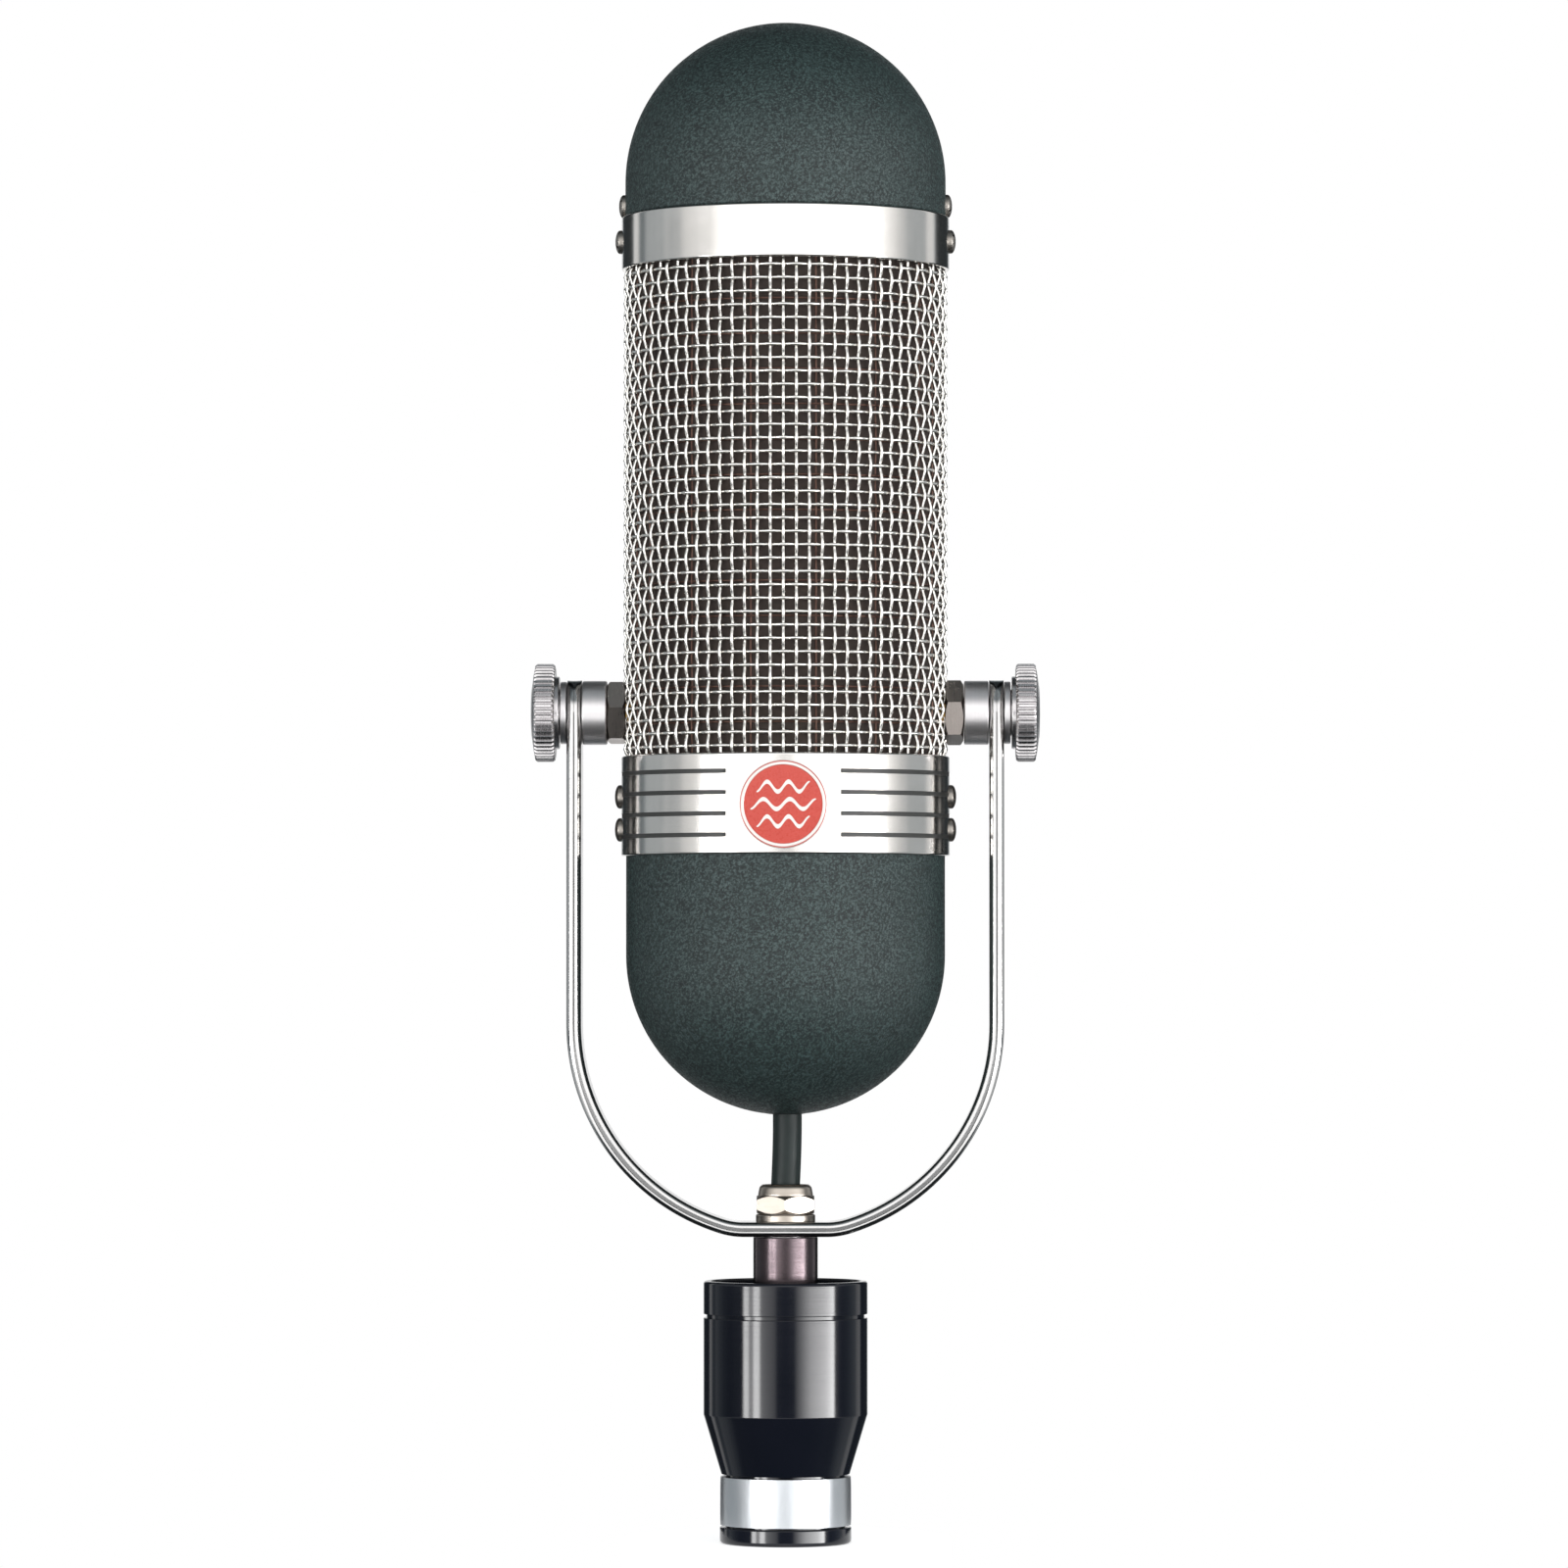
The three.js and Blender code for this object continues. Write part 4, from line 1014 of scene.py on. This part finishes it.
# ---- Yoke nut and washer ----------------------------------------------------------------
# A tall nickel-plated lock nut with a nylon ring in its domed collar clamps the yoke to the
# hollow stud. It is hollow itself, and the cable comes up through it.
washer_low, washer_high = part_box("yoke_washer")
stud_hole = 4.1 * MM
plain_washer = softened([
    (stud_hole, washer_low.z - 0.1 * MM, 0), (washer_high.x, washer_low.z - 0.1 * MM, 0.1 * MM),
    (washer_high.x, washer_high.z, 0.35 * MM), (stud_hole, washer_high.z, 0)])
nut_nickel = turned_steel_finish(
    "satin_nut_nickel", tint(188, 180, 171), tint(170, 161, 150), 0.32, along=2)
yoke_washer = piece("yoke_washer_disc", turned(plain_washer), nut_nickel)
fit(yoke_washer, "coupler", "nickel_wire", "yoke_washer")
nut_low, nut_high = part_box("yoke_nut")
collar_radius = 5.3 * MM
collar_bore = 4.75 * MM
collar_lip = 4.3 * MM
hexagon_top = nut_low.z + 3.5 * MM
nut_hexagon = hexagon(stud_hole, nut_flats, nut_low.z, hexagon_top, chamfer=1.5)
collar_outline = softened([
    (collar_bore, hexagon_top - 0.3 * MM, 0), (collar_radius, hexagon_top - 0.3 * MM, 0),
    (collar_radius, hexagon_top + 0.3 * MM, 0.2 * MM), (collar_radius - 0.35 * MM, nut_high.z, 0.9 * MM),
    (collar_lip, nut_high.z, 0.25 * MM), (collar_lip, nut_high.z - 0.5 * MM, 0),
    (collar_bore, nut_high.z - 0.5 * MM, 0)])
nut_mesh = joined(nut_hexagon, turned(collar_outline))
yoke_nut = piece("yoke_lock_nut", nut_mesh, nut_nickel)
fit(yoke_nut, "coupler", "nickel_wire", "yoke_nut")
nylon = Finish("white_nylon", tint(214, 208, 192), 0.5, Subsurface_Weight=0.1)
nylon_cloud = nylon.noise(0.8 * MM)
nylon.set(Base_Color=nylon.blend(nylon_cloud, tint(222, 217, 202), tint(196, 188, 168)))
nylon.set(Roughness=nylon_cloud * 0.2 + 0.4)
ring_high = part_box("yoke_nut_insert")[1]
ring_bore = 3.3 * MM
ring_foot = ring_high.z - 0.8 * MM
nylon_outline = softened([
    (ring_bore, ring_foot, 0), (ring_high.x, ring_foot, 0),
    (ring_high.x, ring_high.z, 0.15 * MM), (ring_bore, ring_high.z, 0.25 * MM)])
nylon_ring = piece("nut_nylon_ring", turned(nylon_outline), nylon)
fit(nylon_ring, "coupler", "nylon", "yoke_nut_insert")

# ---- Post -------------------------------------------------------------------------------
# A tube of dark browned steel rises out of the coupler's rubber cushion to the yoke. Its
# turning marks show as fine rings, and the browning is thin in places.
post_steel = turned_steel_finish("browned_steel", tint(96, 87, 90), tint(64, 55, 58), 0.2, along=2)
post_low, post_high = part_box("post_tube")
post_bore = 4.2 * MM
post_outline = softened([
    (post_bore, post_low.z, 0), (post_high.x, post_low.z, 0),
    (post_high.x, post_high.z, 0.15 * MM), (post_bore, post_high.z, 0.15 * MM)])
post = piece("post_sleeve", turned(post_outline), post_steel)
fit(post, "coupler", "dark_steel", "post_tube")

# ---- Coupler shell ----------------------------------------------------------------------
# The coupler is turned from aluminium and anodised a glossy blue-black. A groove parts its
# rim from the barrel, the lower end tapers to the stand thread, and the top is a cup.
anodised = Finish("black_anodised", tint(26, 27, 34), 0.14, Specular_IOR_Level=0.36)
tool_rings = anodised.noise(1.0, detail=5.0, rough=0.7, at=anodised.stretched(25, 25, 4600))
dye = anodised.noise(12 * MM, detail=4.0)
anodised.set(Base_Color=anodised.blend(dye, tint(12, 16, 23), tint(18, 20, 29)))
anodised.set(Roughness=tool_rings * 0.05 + dye * 0.03 + 0.06)
anodised.bump(tool_rings, 0.004 * MM)

cup_low, cup_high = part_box("coupler_shell")
barrel_radius = cup_high.x
foot_radius = 12.45 * MM
foot_bore = 11.6 * MM
cone_top = cup_low.z + 11.5 * MM
cup_radius = 14.5 * MM
cup_floor = cup_high.z - 10.7 * MM
groove_low, groove_high = cup_high.z - 7.1 * MM, cup_high.z - 6.4 * MM
groove_floor = barrel_radius - 0.6 * MM
cable_way = 4 * MM
web = 3 * MM
fine = 0.12 * MM
shell_profile = softened([
    (foot_bore, cup_low.z, 0), (foot_radius, cup_low.z, fine), (barrel_radius, cone_top, 0.5 * MM),
    (barrel_radius, groove_low, fine), (groove_floor, groove_low, 0), (groove_floor, groove_high, 0),
    (barrel_radius, groove_high, fine), (barrel_radius, cup_high.z, 0.55 * MM),
    (cup_radius, cup_high.z, 0.3 * MM), (cup_radius, cup_floor, 0), (cable_way, cup_floor, 0),
    (cable_way, cup_floor - web, 0), (foot_bore, cup_floor - web, 0)])
gland_low, gland_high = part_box("cable_gland")
gland_height = (gland_low.z + gland_high.z) / 2
coupler_body = piece("coupler_barrel", turned(shell_profile, 128), anodised)
drill_radius, drill_start, drill_end = 4.1 * MM, 13 * MM, 20 * MM
drill_mesh = turned([
    (0, drill_start), (drill_radius, drill_start), (drill_radius, drill_end), (0, drill_end)], 48)
gland_drill = piece("gland_drill", laid(drill_mesh, "X", -90, (0, 0, gland_height)), anodised)
coupler_body = cut_away(coupler_body, gland_drill)
fit(coupler_body, "coupler", "black_finish", "coupler_shell")

# ---- Bottom ring and foil band ----------------------------------------------------------
# A plain black ring screws on at the mouth. Between it and the cone a strip of silver
# foil is wrapped round the insert; it has creased a little, and its ends lap at the back.
mouth_low, mouth_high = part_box("bottom_ring")
mouth_outline = softened([
    (foot_bore, mouth_low.z, 0), (mouth_high.x, mouth_low.z, 0.7 * MM),
    (mouth_high.x, mouth_high.z, 0.2 * MM), (foot_bore, mouth_high.z, 0)])
mouth_ring = piece("mouth_ring", turned(mouth_outline), anodised)
fit(mouth_ring, "coupler", "black_finish", "bottom_ring")

foil = Finish("silver_foil", tint(206, 209, 212), 0.26, 1.0)
foil_around = foil.noise(1.0, detail=3.0, rough=0.55, at=foil.stretched(260, 260, 75))
foil_grain = foil.noise(0.35 * MM, detail=2.0)
foil.set(Base_Color=foil.blend(foil_around, tint(214, 217, 220), tint(180, 184, 188)))
foil.set(Roughness=foil_around * 0.22 + foil_grain * 0.08 + 0.2)
foil.bump(foil_around + foil_grain * 0.04, 0.09 * MM)
foil_low, foil_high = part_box("label_band")


def foil_band():
    """The wrapped strip: shallow vertical creases, and a thin lap at the back."""
    mesh = bmesh.new()
    sides = 240
    rows = 9
    rings = []
    rings.append(hoop(mesh, foot_bore, foil_low.z, sides))
    for row in range(rows):
        share = row / (rows - 1)
        ring = []
        for side in range(sides):
            angle = 2 * math.pi * side / sides
            folds_wide = math.sin(5 * angle + 1.3 * share + 0.4)
            folds_fine = math.sin(11 * angle - 0.9 * share)
            crease = 0.5 + 0.5 * folds_wide * folds_fine
            tuck = abs(share - 0.5) ** 6 * 4 * MM
            lap = 0.05 * MM if side * 2 < sides else 0.0
            radius = foil_high.x - 0.08 * MM + lap - crease * 0.07 * MM - tuck
            height = foil_low.z + (foil_high.z - foil_low.z) * share
            ring.append(mesh.verts.new((radius * math.sin(angle), -radius * math.cos(angle), height)))
        rings.append(ring)
    rings.append(hoop(mesh, foot_bore, foil_high.z, sides))
    skin(mesh, rings + rings[:1], sides)
    return mesh


foil_strip = piece("foil_strip", foil_band(), foil, crease=50)
fit(foil_strip, "coupler", "silver_foil", "label_band")

# ---- Stand insert -----------------------------------------------------------------------
# A brass bush in the mouth takes the microphone stand. Its bore has a fine right-handed
# thread, drawn here as a true helix, and the bush is closed at the top of the bore.
brass = turned_steel_finish("turned_brass", tint(196, 160, 92), tint(140, 104, 52), 0.32, along=2)
insert_low, insert_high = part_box("stand_insert")
thread_radius = 7.75 * MM
thread_pitch = 0.94 * MM
thread_depth = 0.5 * MM
mouth_flare = 0.5 * MM
bore_depth = 20 * MM


def stand_bush():
    mesh = bmesh.new()
    sides = 64
    outer = insert_high.x
    rings = [
        hoop(mesh, 0, insert_high.z, 1), hoop(mesh, outer, insert_high.z, sides),
        hoop(mesh, outer, insert_low.z, sides)]
    rows = 110
    for row in range(rows + 1):
        height = bore_depth * row / rows
        fade = min(height / MM, 1.0) * min((bore_depth - height) / (1.5 * MM), 1.0)
        flare = mouth_flare * (1 - min(height / mouth_flare, 1.0))
        ring = []
        for side in range(sides):
            angle = 2 * math.pi * side / sides
            phase = (height / thread_pitch - side / sides) % 1.0
            tooth = 1 - abs(2 * phase - 1)
            radius = thread_radius - thread_depth * (1 - tooth) * fade + flare
            ring.append(mesh.verts.new((radius * math.sin(angle), -radius * math.cos(angle), height)))
        rings.append(ring)
    rings.append(hoop(mesh, 0, bore_depth, 1))
    skin(mesh, rings, sides)
    for face in mesh.faces:
        face.material_index = int(face.calc_center_median().xy.length > outer * 0.98)
    return mesh


stand_insert = piece("threaded_stand_bush", stand_bush(), brass, anodised)
fit(stand_insert, "coupler", "brass", "stand_insert")

# ---- Cushion in the cup -----------------------------------------------------------------
# A moulded rubber bush cushions the post in its cup, under a dished plate of dark steel.
rubber = Finish("black_rubber", tint(24, 25, 26), 0.62, Specular_IOR_Level=0.4)
rubber_bloom = rubber.noise(2 * MM, detail=5.0, rough=0.6)
rubber.set(Base_Color=rubber.blend(rubber_bloom, tint(18, 21, 22), tint(40, 46, 46)))
rubber.set(Roughness=rubber_bloom * 0.25 + 0.42)
rubber.bump(rubber.noise(0.18 * MM, detail=2.0), 0.015 * MM)
bush_low, bush_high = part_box("isolator_bush")
bush_outline = softened([
    (post_high.x + 0.1 * MM, bush_low.z, 0), (bush_high.x, bush_low.z, 0),
    (bush_high.x, bush_high.z, 0.6 * MM), (post_high.x + 0.1 * MM, bush_high.z, 0.3 * MM)])
bush = piece("cushion_bush", turned(bush_outline), rubber)
fit(bush, "coupler", "black_rubber", "isolator_bush")
plate_steel = turned_steel_finish("cushion_plate_steel", tint(74, 68, 72), tint(44, 40, 44), 0.34, along=2)
plate_low, plate_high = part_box("isolator_cover")
plate_outline = softened([
    (post_high.x + 0.1 * MM, plate_low.z, 0), (plate_high.x, plate_low.z, 0.1 * MM),
    (plate_high.x, plate_high.z, 0.2 * MM), (plate_high.x - 1.4 * MM, plate_high.z, 0.2 * MM),
    (plate_high.x - 1.9 * MM, plate_high.z - 0.4 * MM, 0.2 * MM),
    (post_high.x + 1.6 * MM, plate_high.z - 0.4 * MM, 0.2 * MM),
    (post_high.x + 1.1 * MM, plate_high.z, 0.2 * MM), (post_high.x + 0.1 * MM, plate_high.z, 0.1 * MM)])
plate = piece("cushion_plate", turned(plate_outline), plate_steel)
fit(plate, "coupler", "dark_steel", "isolator_cover")

# ---- Cable gland ------------------------------------------------------------------------
# The output lead would leave at the back through this ribbed rubber strain relief.
gland_reach = gland_high.y
rib_outline = [(2.9 * MM, 13.6 * MM, 0), (4 * MM, 13.6 * MM, 0), (4 * MM, 16.1 * MM, 0),
               (5.6 * MM, 16.1 * MM, 0.3 * MM), (5.6 * MM, 17.6 * MM, 0.5 * MM)]
for rib in range(2):
    start = 17.6 * MM + rib * 1.2 * MM
    girth = 5.0 * MM - rib * 0.5 * MM
    rib_outline += [(girth - 0.7 * MM, start, 0), (girth - 0.7 * MM, start + 0.35 * MM, 0),
                    (girth, start + 0.35 * MM, 0.15 * MM), (girth - 0.1 * MM, start + 1.2 * MM, 0.15 * MM)]
rib_outline += [(3.6 * MM, gland_reach - 0.4 * MM, 0.1 * MM), (3.5 * MM, gland_reach, 0.15 * MM),
                (2.9 * MM, gland_reach, 0.15 * MM)]
gland_mesh = laid(turned(softened(rib_outline), 64), "X", -90, (0, 0, gland_height))
gland = piece("ribbed_cable_gland", gland_mesh, rubber)
fit(gland, "coupler", "black_rubber", "cable_gland")

# ---- Head cable -------------------------------------------------------------------------
# A round rubber-sheathed cable leaves the nut, leans a little to the right and enters the
# head through a rubber grommet.
cable_low, cable_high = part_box("link_cable")
cable_radius = cable_high.y
cable_bow = 0.35 * MM
cable_bow_height = 24 * MM
sheath = Finish("cable_sheath", tint(22, 32, 32), 0.5, Specular_IOR_Level=0.3)
sheath_cloud = sheath.noise(3 * MM, detail=4.0)
sheath_skin = sheath.noise(1.0, detail=3.0, at=sheath.stretched(1800, 1800, 260))
sheath.set(Base_Color=sheath.blend(sheath_cloud, tint(12, 22, 22), tint(26, 38, 37)))
sheath.set(Roughness=sheath_skin * 0.2 + 0.36)
sheath.bump(sheath_skin, 0.02 * MM)


def head_cable():
    mesh = bmesh.new()
    sides = 32
    steps = 48
    rings = []
    for step in range(steps + 1):
        share = step / steps
        height = cable_low.z + (cable_high.z - cable_low.z) * share
        risen = min(max((height - nut_high.z) / cable_bow_height, 0), 1)
        lean = cable_bow * math.sin(math.pi * risen)
        rings.append(hoop(mesh, cable_radius, height, sides, lean))
    return capped(mesh, rings, sides)


cable = piece("head_cable", head_cable(), sheath, crease=60)
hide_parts("link_cable")
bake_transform(cable)
grommet_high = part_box("cable_grommet")[1]
grommet_bore = cable_radius + 0.15 * MM
grommet_neck = cable_hole - 0.1 * MM
grommet_flange = grommet_high.z - 1.4 * MM
grommet_outline = softened([
    (grommet_bore, shell_low.z + 0.1 * MM, 0.1 * MM), (grommet_neck, shell_low.z + 0.36 * MM, 0),
    (grommet_neck, grommet_flange, 0), (grommet_high.x, grommet_flange, 0.2 * MM),
    (grommet_high.x, grommet_high.z, 0.3 * MM), (grommet_bore, grommet_high.z, 0.2 * MM)])
grommet = piece("head_grommet", turned(grommet_outline, 64), rubber)
fit(grommet, "head", "black_rubber", "cable_grommet")

# ---- Frame and motor inside the head ----------------------------------------------------
# These keep their frame solids and only take a worked finish: castings, iron, a dull magnet
# casting, paper board, copper winding and the corrugated foil ribbon.


def mottled(name, light, dark, size, roughness, metallic, relief):
    finish = Finish(name, light, roughness, metallic)
    cloud = finish.noise(size, detail=5.0, rough=0.6)
    grain = finish.noise(size / 9, detail=3.0)
    finish.set(Base_Color=finish.blend(cloud * 0.6 + grain * 0.4, dark, light))
    finish.set(Roughness=cloud * 0.15 + grain * 0.1 + (roughness - 0.12))
    finish.bump(grain, relief)
    return finish


inner_finishes = {"brass": brass, "turned_steel": turned_steel, "black_rubber": rubber}
worked = (
    ("cast_aluminium", "cast_aluminium", (176, 178, 180), (132, 134, 138), 4, 0.5, 1.0, 0.05),
    ("soft_iron", "soft_iron", (134, 135, 138), (92, 90, 90), 3, 0.42, 1.0, 0.02),
    ("magnet_alloy", "magnet_casting", (104, 107, 110), (64, 64, 66), 2.5, 0.6, 0.9, 0.08),
    ("phenolic", "phenolic_board", (86, 54, 34), (54, 32, 20), 2, 0.5, 0.0, 0.02),
    ("ribbon_foil", "ribbon_foil", (224, 225, 227), (196, 198, 202), 1, 0.32, 1.0, 0.01),
    ("copper_winding", "copper_winding", (168, 96, 58), (110, 58, 34), 1, 0.4, 0.8, 0.05))
for kept_slot, name, light, dark, size, roughness, metallic, relief in worked:
    inner_finishes[kept_slot] = mottled(
        name, tint(*light), tint(*dark), size * MM, roughness, metallic, relief * MM)
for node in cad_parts.values():
    for place in node.material_slots:
        if place.material.name in inner_finishes:
            place.material = inner_finishes[place.material.name].material
